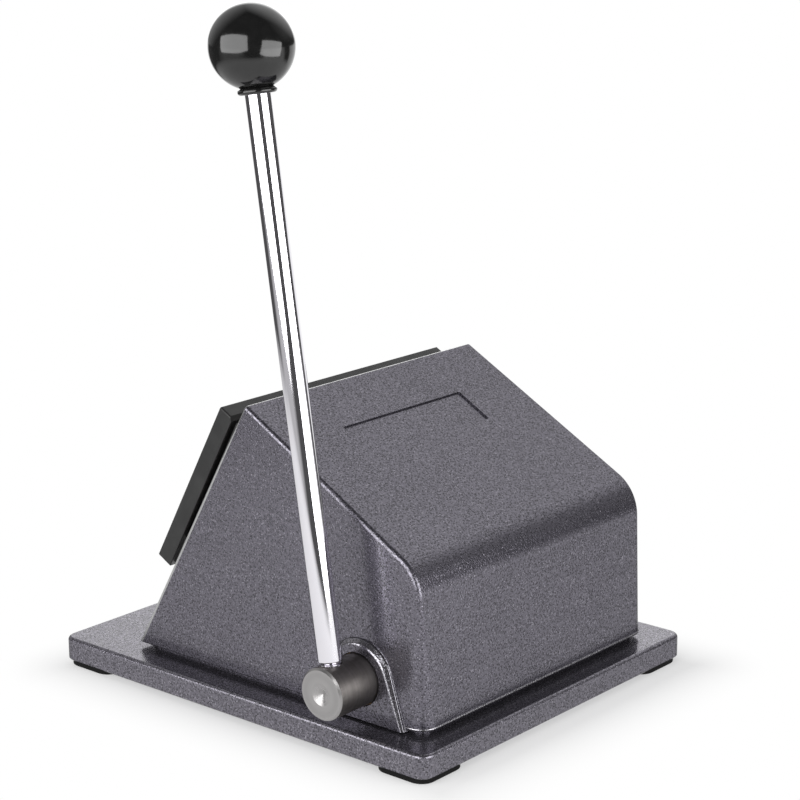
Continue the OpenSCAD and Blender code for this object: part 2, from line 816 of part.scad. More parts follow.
// Round wire along the spring's centre line, with a flat cap at each end
module return_spring(side) {
    rings = [for (i = [0:spring_steps], k = [0:spring_sides - 1]) wire_point(i, k)];
    sides = [
        for (i = [0:spring_steps - 1], k = [0:spring_sides - 1], half = [0, 1])
            let (a = i * spring_sides + k, b = i * spring_sides + (k + 1) % spring_sides)
                half == 0 ? [a, a + spring_sides, b] : [b, a + spring_sides, b + spring_sides]
    ];
    last = spring_steps * spring_sides;
    caps = [
        for (k = [1:spring_sides - 2], end = [0, 1])
            end == 0 ? [0, k, k + 1] : [last, last + k + 1, last + k]
    ];
    color(steel) on_axis() translate([side * post_span / 2, 0, 0])
        polyhedron(points = rings, faces = concat(sides, caps));
}

// Point k on the wire's ring i, in the plane that holds the spring's axis
function wire_point(i, k) =
    let (
        turn = 360 * spring_turns * i / spring_steps,
        out = spring_wire / 2 * cos(360 * k / spring_sides),
        up = spring_wire / 2 * sin(360 * k / spring_sides)
    )
    spring_points[i] + [out * cos(turn), out * sin(turn), up];

module return_spring_left() {
    return_spring(-1);
}

module return_spring_right() {
    return_spring(1);
}

module drive_shaft() {
    far_end_x = far_wall_x + end_play;
    color(dark_steel) difference() {
        union() {
            on_shaft(step_x) {
                cylinder(d = shaft_d, h = shaft_end_x - shaft_bevel - step_x);
                translate([0, 0, shaft_end_x - shaft_bevel - step_x])
                    cylinder(d1 = shaft_d, d2 = shaft_d - 2 * shaft_bevel, h = shaft_bevel);
            }
            on_shaft(far_end_x) cylinder(d = journal_d, h = step_x - far_end_x + sliver);
        }
        on_shaft(shaft_end_x - centre_d / 2) cylinder(d1 = 0, d2 = centre_d, h = centre_d / 2);
        on_shaft(ring_x) tube(shaft_d, shaft_d / 2 - ring_groove, 0, ring_t);
        on_lever() rod(stud_d / 2 + screw_gap, -stud_depth - overcut, shaft_d);
        key_block(0);
    }
}

module retaining_ring() {
    outer_r = shaft_d / 2 + ring_rise;
    color(dark_steel) on_shaft(ring_x) difference() {
        tube(outer_r, shaft_d / 2 - ring_groove + seat_gap, 0, ring_t);
        translate([0, -shaft_d / 4, -overcut]) cube([2 * outer_r, shaft_d / 2, ring_t + 2 * overcut]);
    }
}

// Frame of the eccentric at rest: X points from the shaft's axis to the eccentric's middle
module on_eccentric() {
    on_shaft(0) rotate(90 - face_tilt + 90 - lever_swing / 2) children();
}

module key_block(swell) {
    on_eccentric() translate([-journal_d / 2 - key_rise - swell, -key_w / 2 - swell, -cam_w / 2])
        cube([key_sink + key_rise + swell, key_w + 2 * swell, cam_w]);
}

module eccentric() {
    color(steel) difference() {
        on_eccentric() translate([cam_throw, 0, 0]) rod(cam_r, -cam_w / 2, cam_w / 2);
        on_shaft(0) rod(journal_d / 2 + seat_gap, -cam_w, cam_w);
        key_block(screw_gap);
        on_eccentric() rotate([0, 90, 0]) rod(set_screw_d / 2 + screw_gap, 0, cam_d);
    }
}

module eccentric_key() {
    color(steel) key_block(0);
}

module eccentric_set_screw() {
    screw_end = cam_throw + cam_r - overcut;
    color(dark_steel) on_eccentric() rotate([0, 90, 0]) difference() {
        rod(set_screw_d / 2, journal_d / 2 + seat_gap, screw_end);
        rod(set_screw_d / 4, screw_end - set_screw_d / 2, screw_end + overcut, $fn = 6);
    }
}

module lever_rod() {
    shoulder = shaft_d / 2 + neck_len;
    top = lever_len - collar_reach;
    color(chrome) on_lever() {
        rod(stud_d / 2, -stud_depth, shoulder);
        rod(rod_d / 2, shoulder, top);
        rod(stud_d / 2, top, top + insert_len - overcut);
    }
}

module knob() {
    color(phenolic) on_lever() translate([0, 0, lever_len]) difference() {
        union() {
            sphere(d = knob_d);
            rod(collar_d / 2, -collar_reach, 0);
        }
        rod(stud_d / 2 + insert_wall + seat_gap, -collar_reach - overcut, insert_len - collar_reach);
    }
}

module knob_insert() {
    color(dark_steel) on_lever() translate([0, 0, lever_len - collar_reach])
        tube(stud_d / 2 + insert_wall, stud_d / 2 + screw_gap, 0, insert_len);
}

module punch() {
    band_t = punch_face_t - punch_band;
    color(steel) on_axis() difference() {
        union() {
            rod(punch_r, band_t, punch_face_t);
            rod(punch_r - punch_step, crosshead_front_t, band_t);
        }
        translate([0, 0, punch_face_t - punch_hollow])
            cylinder(r1 = 0, r2 = punch_r - punch_rim, h = punch_hollow);
        at_ring(punch_screw_r, 0)
            rod(ram_screw_d / 2 + screw_gap, crosshead_front_t - overcut, crosshead_front_t + ram_screw_bite + overcut);
    }
}

module punch_screws() {
    seat_t = crosshead_rear_t + ram_head_h;
    color(dark_steel) on_axis() at_ring(punch_screw_r, 0) translate([0, 0, seat_t]) mirror([0, 0, 1])
        socket_screw(ram_screw_d, ram_head_d, ram_head_h, crosshead_front_t + ram_screw_bite - seat_t);
}

module crosshead() {
    color(dark_steel) on_axis() difference() {
        translate([0, 0, crosshead_rear_t]) linear_extrude(crosshead_t) {
            circle(d = crosshead_d);
            square([post_span, crosshead_end_d], center = true);
            at_posts() circle(d = crosshead_end_d);
        }
        at_posts() rod(post_bush_r + seat_gap, crosshead_rear_t - overcut, crosshead_front_t + overcut);
        at_ring(punch_screw_r, 0) {
            rod(ram_screw_d / 2 + free_gap, crosshead_rear_t - overcut, crosshead_front_t + overcut);
            rod(ram_head_d / 2 + free_gap, crosshead_rear_t - overcut, crosshead_rear_t + ram_head_h);
        }
        at_ring(ram_screw_r, 45)
            rod(ram_screw_d / 2 + screw_gap, crosshead_rear_t - overcut, crosshead_rear_t + ram_screw_bite + overcut);
    }
}

module crosshead_bush(side) {
    color(bronze) on_axis() translate([side * post_span / 2, 0, 0])
        tube(post_bush_r, post_r + run_gap, crosshead_rear_t, crosshead_front_t);
}

module crosshead_bush_left() {
    crosshead_bush(-1);
}

module crosshead_bush_right() {
    crosshead_bush(1);
}

module ram() {
    color(dark_steel) on_axis() difference() {
        union() {
            rod(flange_d / 2, flange_rear_t, crosshead_rear_t);
            rod(ram_d / 2, ram_end_t, flange_rear_t + sliver);
        }
        at_ring(ram_screw_r, 45)
            rod(ram_screw_d / 2 + free_gap, flange_rear_t - overcut, crosshead_rear_t + overcut);
        rod(pad_d / 2 + seat_gap, ram_end_t - overcut, ram_end_t + pad_sink);
    }
}

module ram_screws() {
    color(dark_steel) on_axis() at_ring(ram_screw_r, 45) translate([0, 0, flange_rear_t]) mirror([0, 0, 1])
        socket_screw(ram_screw_d, ram_head_d, ram_head_h, flange_t + ram_screw_bite);
}

module ram_pad() {
    color(steel) on_axis() rod(pad_d / 2, pad_face_t, pad_face_t + pad_t);
}

echo(spring_least_gap = spring_least_gap);

base_plate();
foot_front_left();
foot_front_right();
foot_rear_left();
foot_rear_right();
foot_screws();
housing();
housing_bolts();
bush_lever_side();
bush_far_side();
thrust_washer();
guide_plate();
guide_plate_screws();
die_plate();
die_screws();
dowel_pins();
slot_fence();
slot_spacers();
guide_post_left();
guide_post_right();
post_washers();
post_nuts();
return_spring_left();
return_spring_right();
drive_shaft();
retaining_ring();
eccentric();
eccentric_key();
eccentric_set_screw();
lever_rod();
knob();
knob_insert();
punch();
punch_screws();
crosshead();
crosshead_bush_left();
crosshead_bush_right();
ram();
ram_screws();
ram_pad();
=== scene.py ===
"""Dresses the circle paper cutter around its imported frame.

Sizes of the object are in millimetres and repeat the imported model's. The studio's are in metres.
"""

from __future__ import annotations

import logging
import math
from collections.abc import Callable, Iterable, Mapping, Sequence
from dataclasses import dataclass
from enum import Enum

import bmesh
import bpy
from mathutils import Matrix, Vector

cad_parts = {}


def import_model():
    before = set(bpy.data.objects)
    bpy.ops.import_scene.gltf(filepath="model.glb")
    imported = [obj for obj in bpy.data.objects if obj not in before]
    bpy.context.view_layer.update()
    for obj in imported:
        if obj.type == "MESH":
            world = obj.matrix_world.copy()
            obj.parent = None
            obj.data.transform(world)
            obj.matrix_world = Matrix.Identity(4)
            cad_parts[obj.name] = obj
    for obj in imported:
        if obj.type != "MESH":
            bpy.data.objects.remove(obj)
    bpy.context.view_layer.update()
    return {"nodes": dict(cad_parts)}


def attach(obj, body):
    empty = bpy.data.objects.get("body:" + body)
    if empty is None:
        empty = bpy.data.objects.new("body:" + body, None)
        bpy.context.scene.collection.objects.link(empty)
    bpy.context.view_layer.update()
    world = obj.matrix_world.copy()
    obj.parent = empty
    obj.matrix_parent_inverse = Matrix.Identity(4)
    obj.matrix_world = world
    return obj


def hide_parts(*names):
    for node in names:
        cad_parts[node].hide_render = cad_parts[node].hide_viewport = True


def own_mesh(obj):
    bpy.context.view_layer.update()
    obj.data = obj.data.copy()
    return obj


LOG = logging.getLogger("paper_cutter")
MM = 0.001
WELD = 1e-4
LEAST_R = 1e-3
FLAT_ANGLE = math.radians(0.3)
SHARP_ANGLE = math.radians(34)
TURN_STEPS = 96
ARC_STEPS = 8
OVERCUT = 1.0
UNIT = (0.0, 1.0)
NOWHERE = (0.0, 0.0, 0.0)

Colour = tuple[float, float, float, float]
Triple = tuple[float, float, float]
Span = tuple[float, float]
Spots = tuple[Span, ...]
Profile = Sequence[Span]


def rgb(red: float, green: float, blue: float) -> Colour:
    """Returns an opaque colour."""
    return (red, green, blue, 1.0)


def grey(level: float) -> Colour:
    """Returns an opaque grey."""
    return rgb(level, level, level)


def shift(x: float = 0.0, y: float = 0.0, z: float = 0.0) -> Matrix:
    """Returns a move along the axes."""
    return Matrix.Translation((x, y, z))


def turn(degrees: float, axis: str) -> Matrix:
    """Returns a turn about an axis."""
    return Matrix.Rotation(math.radians(degrees), 4, axis)


def grid(half: float, rows: Span) -> Spots:
    """Returns the spots of two rows that reach half to either side."""
    return tuple((x, y) for y in rows for x in (-half, half))


def shown(name: str, data: bpy.types.ID) -> bpy.types.Object:
    """Puts a new object into the scene.

    Args:
        name: The object's name.
        data: What it holds.

    Returns:
        The object.
    """
    made = bpy.data.objects.new(name, data)
    bpy.context.scene.collection.objects.link(made)
    return made


def settled(holder: bpy.types.Object) -> bpy.types.Mesh:
    """Returns an object's mesh as its modifiers leave it."""
    graph = bpy.context.evaluated_depsgraph_get()
    return bpy.data.meshes.new_from_object(holder.evaluated_get(graph))


class Term:
    """A value in a node tree that Python's operators combine."""

    def __init__(self, book: NodeBook, socket: bpy.types.NodeSocket) -> None:
        """Keeps the socket that gives the value."""
        self.book, self.socket = book, socket

    def _math(self, operation: str, first: Value, second: Value = 0.0) -> Term:
        """Returns a Math node's result."""
        return self.book.add("ShaderNodeMath", {0: first, 1: second}, operation=operation)

    def __add__(self, other: Value) -> Term:
        """Returns self + other."""
        return self._math("ADD", self, other)

    def __sub__(self, other: Value) -> Term:
        """Returns self - other."""
        return self._math("SUBTRACT", self, other)

    def __rsub__(self, other: Value) -> Term:
        """Returns other - self."""
        return self._math("SUBTRACT", other, self)

    def __mul__(self, other: Value) -> Term:
        """Returns self * other."""
        return self._math("MULTIPLY", self, other)

    __radd__ = __add__
    __rmul__ = __mul__

    def sine(self) -> Term:
        """Returns the sine of the value."""
        return self._math("SINE", self)

    def larger(self, other: Value) -> Term:
        """Returns the larger of two values."""
        return self._math("MAXIMUM", self, other)


Value = Term | float | int | bool | Sequence[float] | bpy.types.ID
Sockets = Mapping[int | str, Value | list[Term]]


class NodeBook:
    """Writes nodes into one tree."""

    def __init__(self, tree: bpy.types.NodeTree) -> None:
        """Keeps the tree, emptied of its first nodes."""
        self.tree = tree
        tree.nodes.clear()

    @classmethod
    def of(cls, owner: bpy.types.Material | bpy.types.World) -> NodeBook:
        """Returns the book of a material or a world."""
        owner.use_nodes = True
        return cls(owner.node_tree)

    @staticmethod
    def _socket(sockets: Sequence[bpy.types.NodeSocket], key: int | str) -> bpy.types.NodeSocket:
        """Finds a socket by its place, its identifier or its name."""
        found = (s for s in sockets if s.identifier == key or (s.name == key and s.enabled))
        return sockets[key] if isinstance(key, int) else next(found)

    def add(
        self, kind: str, sockets: Sockets | None = None, output: int | str = 0, **settings: object
    ) -> Term:
        """Adds a node.

        Args:
            kind: The node's type.
            sockets: Values or links of its inputs. A list of links fills a socket that takes several.
            output: The output that is wanted.
            settings: The node's own settings, which are set first.

        Returns:
            The wanted output.
        """
        node = self.tree.nodes.new(kind)
        for key, value in settings.items():
            setattr(node, key, value)
        for key, value in (sockets or {}).items():
            socket = self._socket(node.inputs, key)
            for part in value if isinstance(value, list) else [value]:
                if isinstance(part, Term):
                    self.tree.links.new(part.socket, socket)
                else:
                    socket.default_value = part
        return Term(self, self._socket(node.outputs, output) if node.outputs else None)

    def place(self) -> Term:
        """Returns the point's place in the object."""
        return self.add("ShaderNodeTexCoord", output="Object")

    def vector(self, operation: str, first: Value, second: Value = NOWHERE, output: str = "Vector") -> Term:
        """Returns a Vector Math node's result."""
        return self.add("ShaderNodeVectorMath", {0: first, 1: second}, output, operation=operation)

    def length(self, vector: Term) -> Term:
        """Returns a vector's length."""
        return self.vector("LENGTH", vector, output="Value")

    def noise(self, place: Term, size: float, detail: float = 2.0) -> Term:
        """Returns noise whose grains are about size millimetres across."""
        sockets = {"Vector": place, "Scale": 1 / (size * MM), "Detail": detail}
        return self.add("ShaderNodeTexNoise", sockets, "Fac")

    def stretch(self, value: Term, span: Span, to: Span = UNIT) -> Term:
        """Maps the ends of a span to the ends of another, and holds them."""
        ends = {"From Min": span[0], "From Max": span[1], "To Min": to[0], "To Max": to[1]}
        return self.add("ShaderNodeMapRange", {"Value": value, **ends}, "Result", clamp=True)

    def mix(self, share: Value, first: Value, second: Value) -> Term:
        """Returns a blend of two colours."""
        sockets = {"Factor_Float": share, "A_Color": first, "B_Color": second}
        return self.add("ShaderNodeMix", sockets, "Result_Color", data_type="RGBA")

    def bump(self, height: Term, depth: float) -> Term:
        """Returns the normal of a relief that is depth millimetres deep."""
        return self.add("ShaderNodeBump", {"Distance": depth * MM, "Height": height}, "Normal")


@dataclass(frozen=True)
class Finish:
    """What a surface is made of and how it is worked."""

    base: Colour
    rough: float
    metal: float = 1.0
    spread: float = 0.08
    relief: float = 0.004

    def shade(self, book: NodeBook) -> Term:
        """Writes the finish's nodes and returns its shader."""
        raise NotImplementedError

    def _shader(self, book: NodeBook, colour: Value, rough: Value, height: Term, **more: Value) -> Term:
        """Makes the shader that all finishes share.

        Args:
            book: Where the nodes go.
            colour: Colour over the surface.
            rough: Roughness over the surface.
            height: Height of its relief.
            more: Other sockets by name, with _ for a space.

        Returns:
            The shader.
        """
        sockets = {"Base Color": colour, "Roughness": rough, "Metallic": self.metal}
        sockets["Normal"] = book.bump(height, self.relief)
        sockets.update({key.replace("_", " "): value for key, value in more.items()})
        return book.add("ShaderNodeBsdfPrincipled", sockets, "BSDF")


@dataclass(frozen=True)
class HammerPaint(Finish):
    """Grey hammer paint: a light skin with small dark dimples and bright flakes under a gloss."""

    spread: float = 0.06
    relief: float = 0.05
    light: Colour = grey(0.2)
    flake: Colour = grey(0.3)
    cell: float = 1.1
    dimple: Span = (0.2, 0.56)
    grain: float = 0.5
    ragged: float = 0.5
    fleck: float = 0.8
    flakes: Span = (0.57, 0.7)
    cloud: float = 40.0
    cloud_span: Span = (0.3, 0.7)
    gloss: float = 0.5
    gloss_rough: float = 0.16
    edge_tint: float = 0.25

    def shade(self, book: NodeBook) -> Term:
        """Writes the paint's nodes.

        Args:
            book: Where the nodes go.

        Returns:
            The shader.
        """
        place = book.place()
        scale = 1 / (self.cell * MM)
        cells = book.add("ShaderNodeTexVoronoi", {"Vector": place, "Scale": scale}, "Distance", feature="F1")
        grains = book.noise(place, self.grain) * self.ragged - self.ragged / 2
        skin = book.stretch(cells + grains, self.dimple)
        clouds = book.stretch(book.noise(place, self.cloud), self.cloud_span, (-self.spread, self.spread))
        plain = book.mix(book.stretch(skin + clouds, UNIT), self.base, self.light)
        colour = book.mix(book.stretch(book.noise(place, self.fleck), self.flakes), plain, self.flake)
        rough = book.stretch(skin, UNIT, (self.rough + self.spread, self.rough - self.spread))
        coat = {"Coat_Weight": self.gloss, "Coat_Roughness": self.gloss_rough}
        tint = grey(self.edge_tint)
        return self._shader(book, colour, rough, skin + grains, Specular_Tint=tint, **coat)


@dataclass(frozen=True)
class Faded(Finish):
    """A finish that fades to a second colour, given as shares of the first, where its tone rises."""

    fade: Colour = grey(0.76)
    fade_span: Span = (0.35, 0.65)
    sheen_span: Span = (0.3, 0.7)

    def _wear_and_painted_light(self, book: NodeBook, tone: Term, height: Term, **more: Value) -> Term:
        """Makes the shader.

        Args:
            book: Where the nodes go.
            tone: What fades the colour and changes the roughness.
            height: Height of the relief.
            more: Other sockets by name, with _ for a space.

        Returns:
            The shader.
        """
        faded = tuple(part * share for part, share in zip(self.base, self.fade))
        colour = book.mix(book.stretch(tone, self.fade_span), self.base, faded)
        rough = book.stretch(tone, self.sheen_span, (self.rough - self.spread, self.rough + self.spread))
        return self._shader(book, colour, rough, height, **more)


@dataclass(frozen=True)
class WorkedSteel(Faded):
    """Machined metal: fine lines along one direction, with faint stains."""

    sheen_span: Span = (0.35, 0.65)
    along: Triple = (0.06, 1.0, 1.0)
    line: float = 0.25
    line_share: float = 0.5
    stain: float = 14.0
    detail: float = 3.0

    def shade(self, book: NodeBook) -> Term:
        """Writes the metal's nodes.

        Args:
            book: Where the nodes go.

        Returns:
            The shader.
        """
        place = book.place()
        lines = book.noise(book.vector("MULTIPLY", place, self.along), self.line)
        stains = book.noise(place, self.stain, self.detail)
        return self._wear_and_painted_light(book, lines * self.line_share + stains * (1 - self.line_share), lines)


@dataclass(frozen=True)
class TurnedSteel(Faded):
    """Metal that a lathe has faced and turned: fine rings about an axis, in bands some pitches wide."""

    spread: float = 0.07
    relief: float = 0.006
    fade: Colour = grey(0.79)
    point: Triple = NOWHERE
    axis: Triple = (1.0, 0.0, 0.0)
    pitch: float = 0.9
    band: float = 5.0
    stain: float = 6.0

    def shade(self, book: NodeBook) -> Term:
        """Writes the metal's nodes.

        Args:
            book: Where the nodes go.

        Returns:
            The shader.
        """
        place = book.place()
        away = book.vector("SUBTRACT", place, tuple(part * MM for part in self.point))
        along = book.vector("DOT_PRODUCT", away, self.axis, "Value")
        out = book.length(book.vector("CROSS_PRODUCT", away, self.axis))
        wander = book.noise(place, self.stain)
        rings = ((out + along) * (math.tau / (self.pitch * MM)) + wander * math.tau).sine()
        bands = book.noise(book.add("ShaderNodeCombineXYZ", {"X": out, "Y": along}), self.pitch * self.band)
        return self._wear_and_painted_light(book, bands, rings + bands)


@dataclass(frozen=True)
class SmoothSkin(Faded):
    """Rubber, resin or plating: an even skin with a faint haze."""

    spread: float = 0.05
    relief: float = 0.01
    fade: Colour = grey(1.6)
    fade_span: Span = (0.4, 0.8)
    haze: float = 0.6
    detail: float = 3.0
    coat: float = 0.0
    coat_rough: float = 0.03
    shine: float = 0.5

    def shade(self, book: NodeBook) -> Term:
        """Writes the skin's nodes.

        Args:
            book: Where the nodes go.

        Returns:
            The shader.
        """
        haze = book.noise(book.place(), self.haze, self.detail)
        coat = {"Coat_Weight": self.coat, "Coat_Roughness": self.coat_rough}
        return self._wear_and_painted_light(book, haze, haze, Specular_IOR_Level=self.shine, **coat)


@dataclass(frozen=True)
class Layout:
    """Sizes and places that the sub-assemblies share."""

    base_top: float = 15.5
    foot_h: float = 3.0
    foot_seat: float = 1.8
    foot_spot: Span = (90.0, 108.0)
    housing_z: float = 17.7
    housing_w: float = 182.0
    housing_front: float = 82.5
    housing_rear: float = 112.0
    face_tilt: float = 29.0
    side_draft: float = 1.4
    wall: float = 6.0
    front_wall: float = 9.0
    axis_s: float = 91.618
    shaft_y: float = 72.2
    shaft_z: float = 36.7
    shaft_r: float = 13.0
    shaft_end_x: float = 119.536
    boss_face_x: float = 93.536
    lever_x: float = 110.036
    lever_lean: float = 8.6
    stroke: float = 6.883
    bolt_x: float = 78.0
    bolt_rows: Span = (-52.5, 97.0)
    cut_r: float = 35.0
    die_rear: float = 6.2
    die_t: float = 9.6
    die_screws: Spots = grid(70.0, (-36.0, 46.0))
    post_x: float = 55.0

    def half_width(self, z: float) -> float:
        """Returns the housing's half width at a height."""
        return self.housing_w / 2 - (z - self.housing_z) * math.tan(math.radians(self.side_draft))

    def on_face(self) -> Matrix:
        """Returns the frame of the sloping face: X across, Y up the face, Z straight out of it."""
        return shift(0, -self.housing_front, self.housing_z) @ turn(90 - self.face_tilt, "X")

    def on_axis(self) -> Matrix:
        """Returns the sloping face's frame, moved up to the cut circle's middle."""
        return self.on_face() @ shift(y=self.axis_s)

    def on_shaft(self) -> Matrix:
        """Returns the frame of the cross shaft: Z runs along it towards the lever."""
        return shift(0, self.shaft_y, self.shaft_z) @ turn(90, "Y")

    def on_lever(self) -> Matrix:
        """Returns the frame of the lever at rest: Z runs along the rod from the shaft's axis."""
        return shift(self.lever_x, self.shaft_y, self.shaft_z) @ turn(self.lever_lean, "X")

    def bolts(self) -> Spots:
        """Returns the places of the housing's bolts."""
        return tuple((x, y) for x in (-self.bolt_x, self.bolt_x) for y in self.bolt_rows)


LAYOUT = Layout()
SHAFT_POINT = (0, LAYOUT.shaft_y, LAYOUT.shaft_z)
OUT_OF_FACE = tuple(LAYOUT.on_face().to_3x3() @ Vector((0, 0, 1)))
CUT_MIDDLE = tuple(LAYOUT.on_axis().translation)


@dataclass(frozen=True)
class Cap:
    """A size of socket screw, and the holes that it needs."""

    head_d: float
    head_h: float
    shank_d: float
    bevel: float = 0.5
    free_gap: float = 0.3
    thread_gap: float = 0.05

    @property
    def head_hole(self) -> float:
        """Returns the radius of the hole for the head."""
        return self.head_d / 2 + self.free_gap

    @property
    def free_hole(self) -> float:
        """Returns the radius of a hole that the shank passes freely."""
        return self.shank_d / 2 + self.free_gap

    @property
    def thread_hole(self) -> float:
        """Returns the radius of a threaded hole."""
        return self.shank_d / 2 + self.thread_gap


BOLT = Cap(head_d=10.0, head_h=6.0, shank_d=6.0)
FOOT_SCREW = Cap(head_d=8.0, head_h=1.5, shank_d=4.0, bevel=0.3)


class Look(Enum):
    """The object's finishes; the lighter copies of the hammer paint are painted light."""

    HAMMER = HammerPaint(
        rgb(0.037, 0.035, 0.042), 0.27, 0.85, light=rgb(0.143, 0.135, 0.163), flake=rgb(0.3, 0.286, 0.33)
    )
    # Base plate: a lighter copy of the housing's hammer paint, painted light for its brighter sides.
    BASE = HammerPaint(
        rgb(0.043, 0.041, 0.048), 0.27, 0.85, light=rgb(0.168, 0.159, 0.188), flake=rgb(0.36, 0.344, 0.39)
    )
    # Rear lip: the hammer paint painted much lighter, a painted highlight along the bottom edge.
    PAINTED_LIP_HIGHLIGHT = HammerPaint(
        rgb(0.09, 0.088, 0.097), 0.27, 0.95, light=rgb(0.36, 0.352, 0.375), flake=rgb(0.56, 0.55, 0.58)
    )
    # Boss rims: the hammer paint painted lighter and glossier, a painted highlight on the rims.
    PAINTED_RIM_HIGHLIGHT = HammerPaint(
        rgb(0.1, 0.098, 0.11), 0.19, 0.95, relief=0.03, light=rgb(0.28, 0.27, 0.3),
        flake=rgb(0.42, 0.41, 0.44),
    )
    BLACK = WorkedSteel(
        grey(0.024), 0.42, 0.5, spread=-0.03, relief=0.003, fade=grey(1.5), fade_span=(0.4, 0.75),
        sheen_span=(0.3, 0.7), along=(0.05, 1.0, 1.0), line=0.3, line_share=0.0, stain=11.0, detail=4.0,
    )
    GROUND = WorkedSteel(grey(0.48), 0.38, spread=0.06, relief=0.012, fade=grey(0.82), line=0.7)
    DARK = WorkedSteel(grey(0.22), 0.32)
    TURNED = TurnedSteel(rgb(0.2, 0.186, 0.178), 0.44, point=SHAFT_POINT, pitch=0.5)
    SHAFT = TurnedSteel(rgb(0.42, 0.41, 0.408), 0.3, point=SHAFT_POINT)
    PUNCH = TurnedSteel(
        grey(0.4), 0.32, spread=0.04, fade=grey(0.88), point=CUT_MIDDLE, axis=OUT_OF_FACE, pitch=0.4
    )
    CHROME = SmoothSkin(
        rgb(0.87, 0.85, 0.885), 0.05, spread=0.02, relief=0.002, fade=rgb(0.97, 0.98, 1.0), fade_span=UNIT,
        sheen_span=(0.35, 0.7), haze=9.0,
    )
    BRONZE = WorkedSteel(rgb(0.56, 0.36, 0.15), 0.32)
    RUBBER = SmoothSkin(grey(0.004), 0.8, 0.0, relief=0.03, shine=0.15)
    RESIN = SmoothSkin(
        grey(0.005), 0.12, 0.0, spread=0.02, relief=0.004, haze=4.0, coat=0.3, coat_rough=0.09
    )


class Paintbox:
    """Keeps each finish's material once it is made."""

    def __init__(self) -> None:
        """Starts with no material."""
        self._made: dict[Look, bpy.types.Material] = {}

    def material(self, look: Look) -> bpy.types.Material:
        """Gives a finish's material, which is written on first use.

        Args:
            look: The finish.

        Returns:
            The material.
        """
        if look not in self._made:
            self._made[look] = bpy.data.materials.new(f"finish_{look.name.lower()}")
            book = NodeBook.of(self._made[look])
            book.add("ShaderNodeOutputMaterial", {"Surface": look.value.shade(book)})
        return self._made[look]


PAINTBOX = Paintbox()
Choice = Callable[[Vector, Vector], Look]


class Operation(Enum):
    """Ways in which one solid changes another."""

    CUT = "DIFFERENCE"
    JOIN = "UNION"
    KEEP = "INTERSECT"


class Form:
    """A closed solid, worked on before it becomes a piece."""

    def __init__(self, mesh: bpy.types.Mesh) -> None:
        """Keeps the solid's mesh."""
        self.mesh = mesh

    @classmethod
    def _closed(cls, shape: bmesh.types.BMesh) -> Form:
        """Welds a shape's doubles and turns its faces outwards.

        Args:
            shape: The shape, which is used up.

        Returns:
            The solid.
        """
        bmesh.ops.remove_doubles(shape, verts=shape.verts, dist=WELD)
        bmesh.ops.recalc_face_normals(shape, faces=shape.faces)
        mesh = bpy.data.meshes.new("form")
        shape.to_mesh(mesh)
        shape.free()
        return cls(mesh)

    @classmethod
    def loft(cls, rings: Sequence[Sequence[Vector]], capped: bool = True) -> Form:
        """Spans rings of equal counts.

        Args:
            rings: The rings.
            capped: Whether the first and the last are closed.

        Returns:
            The solid.
        """
        shape = bmesh.new()
        rows = [[shape.verts.new(point) for point in ring] for ring in rings]
        for low, high in zip(rows, rows[1:]):
            for i, start in enumerate(low):
                j = (i + 1) % len(low)
                shape.faces.new((start, low[j], high[j], high[i]))
        for cap in (rows[0][::-1], rows[-1]) if capped else ():
            shape.faces.new(cap)
        return cls._closed(shape)

    @classmethod
    def lathe(cls, profile: Profile, steps: int = TURN_STEPS) -> Form:
        """Turns a profile of radius and height about Z. It starts and ends on the axis."""
        turns = [(math.cos(math.tau * i / steps), math.sin(math.tau * i / steps)) for i in range(steps)]
        return cls.loft([[Vector((r * x, r * y, z)) for x, y in turns] for r, z in profile], False)

    @classmethod
    def slab(cls, width: float, depth: float, corner: float, levels: Profile) -> Form:
        """Stacks rounded rectangles, each set in by a distance at a height.

        Args:
            width: Size along X.
            depth: Size along Y.
            corner: Radius of the upright corners.
            levels: Distance inwards and height of each ring.

        Returns:
            The slab, with its middle on Z.
        """
        rings = []
        for inset, z in levels:
            r = max(corner - inset, LEAST_R)
            x, y = width / 2 - inset - r, depth / 2 - inset - r
            ring = []
            for quarter, (side_x, side_y) in enumerate(((1, 1), (-1, 1), (-1, -1), (1, -1))):
                for step in range(ARC_STEPS + 1):
                    a = math.pi / 2 * (quarter + step / ARC_STEPS)
                    ring.append(Vector((side_x * x + r * math.cos(a), side_y * y + r * math.sin(a), z)))
            rings.append(ring)
        return cls.loft(rings)

    @classmethod
    def hull(cls, points: Iterable[Vector]) -> Form:
        """Wraps points in the smallest form that bulges outwards everywhere.

        Args:
            points: The points.

        Returns:
            The solid.
        """
        shape = bmesh.new()
        for point in points:
            shape.verts.new(point)
        made = bmesh.ops.convex_hull(shape, input=shape.verts)
        spare = {v for v in made["geom_interior"] + made["geom_unused"] if isinstance(v, bmesh.types.BMVert)}
        bmesh.ops.delete(shape, geom=list(spare), context="VERTS")
        bmesh.ops.dissolve_limit(shape, angle_limit=FLAT_ANGLE, verts=shape.verts, edges=shape.edges)
        return cls._closed(shape)

    def placed(self, matrix: Matrix) -> Form:
        """Moves the solid and returns it."""
        self.mesh.transform(matrix)
        return self

    def _changed(self, operation: Operation, tools: Iterable[Form]) -> Form:
        """Changes the solid by other solids.

        Args:
            operation: What each of them does.
            tools: The other solids.

        Returns:
            The changed solid.
        """
        holder, *helpers = [shown("form", form.mesh) for form in (self, *tools)]
        for helper in helpers:
            change = holder.modifiers.new("change", "BOOLEAN")
            change.operation, change.solver, change.object = operation.value, "MANIFOLD", helper
        mesh = settled(holder)
        for spare in (*helpers, holder):
            bpy.data.objects.remove(spare)
        return Form(mesh)

    def cut(self, *tools: Form) -> Form:
        """Returns the solid without the tools."""
        return self._changed(Operation.CUT, tools)

    def joined(self, *tools: Form) -> Form:
        """Returns the solid together with the tools."""
        return self._changed(Operation.JOIN, tools)

    def kept(self, *tools: Form) -> Form:
        """Returns what the solid shares with the tools."""
        return self._changed(Operation.KEEP, tools)


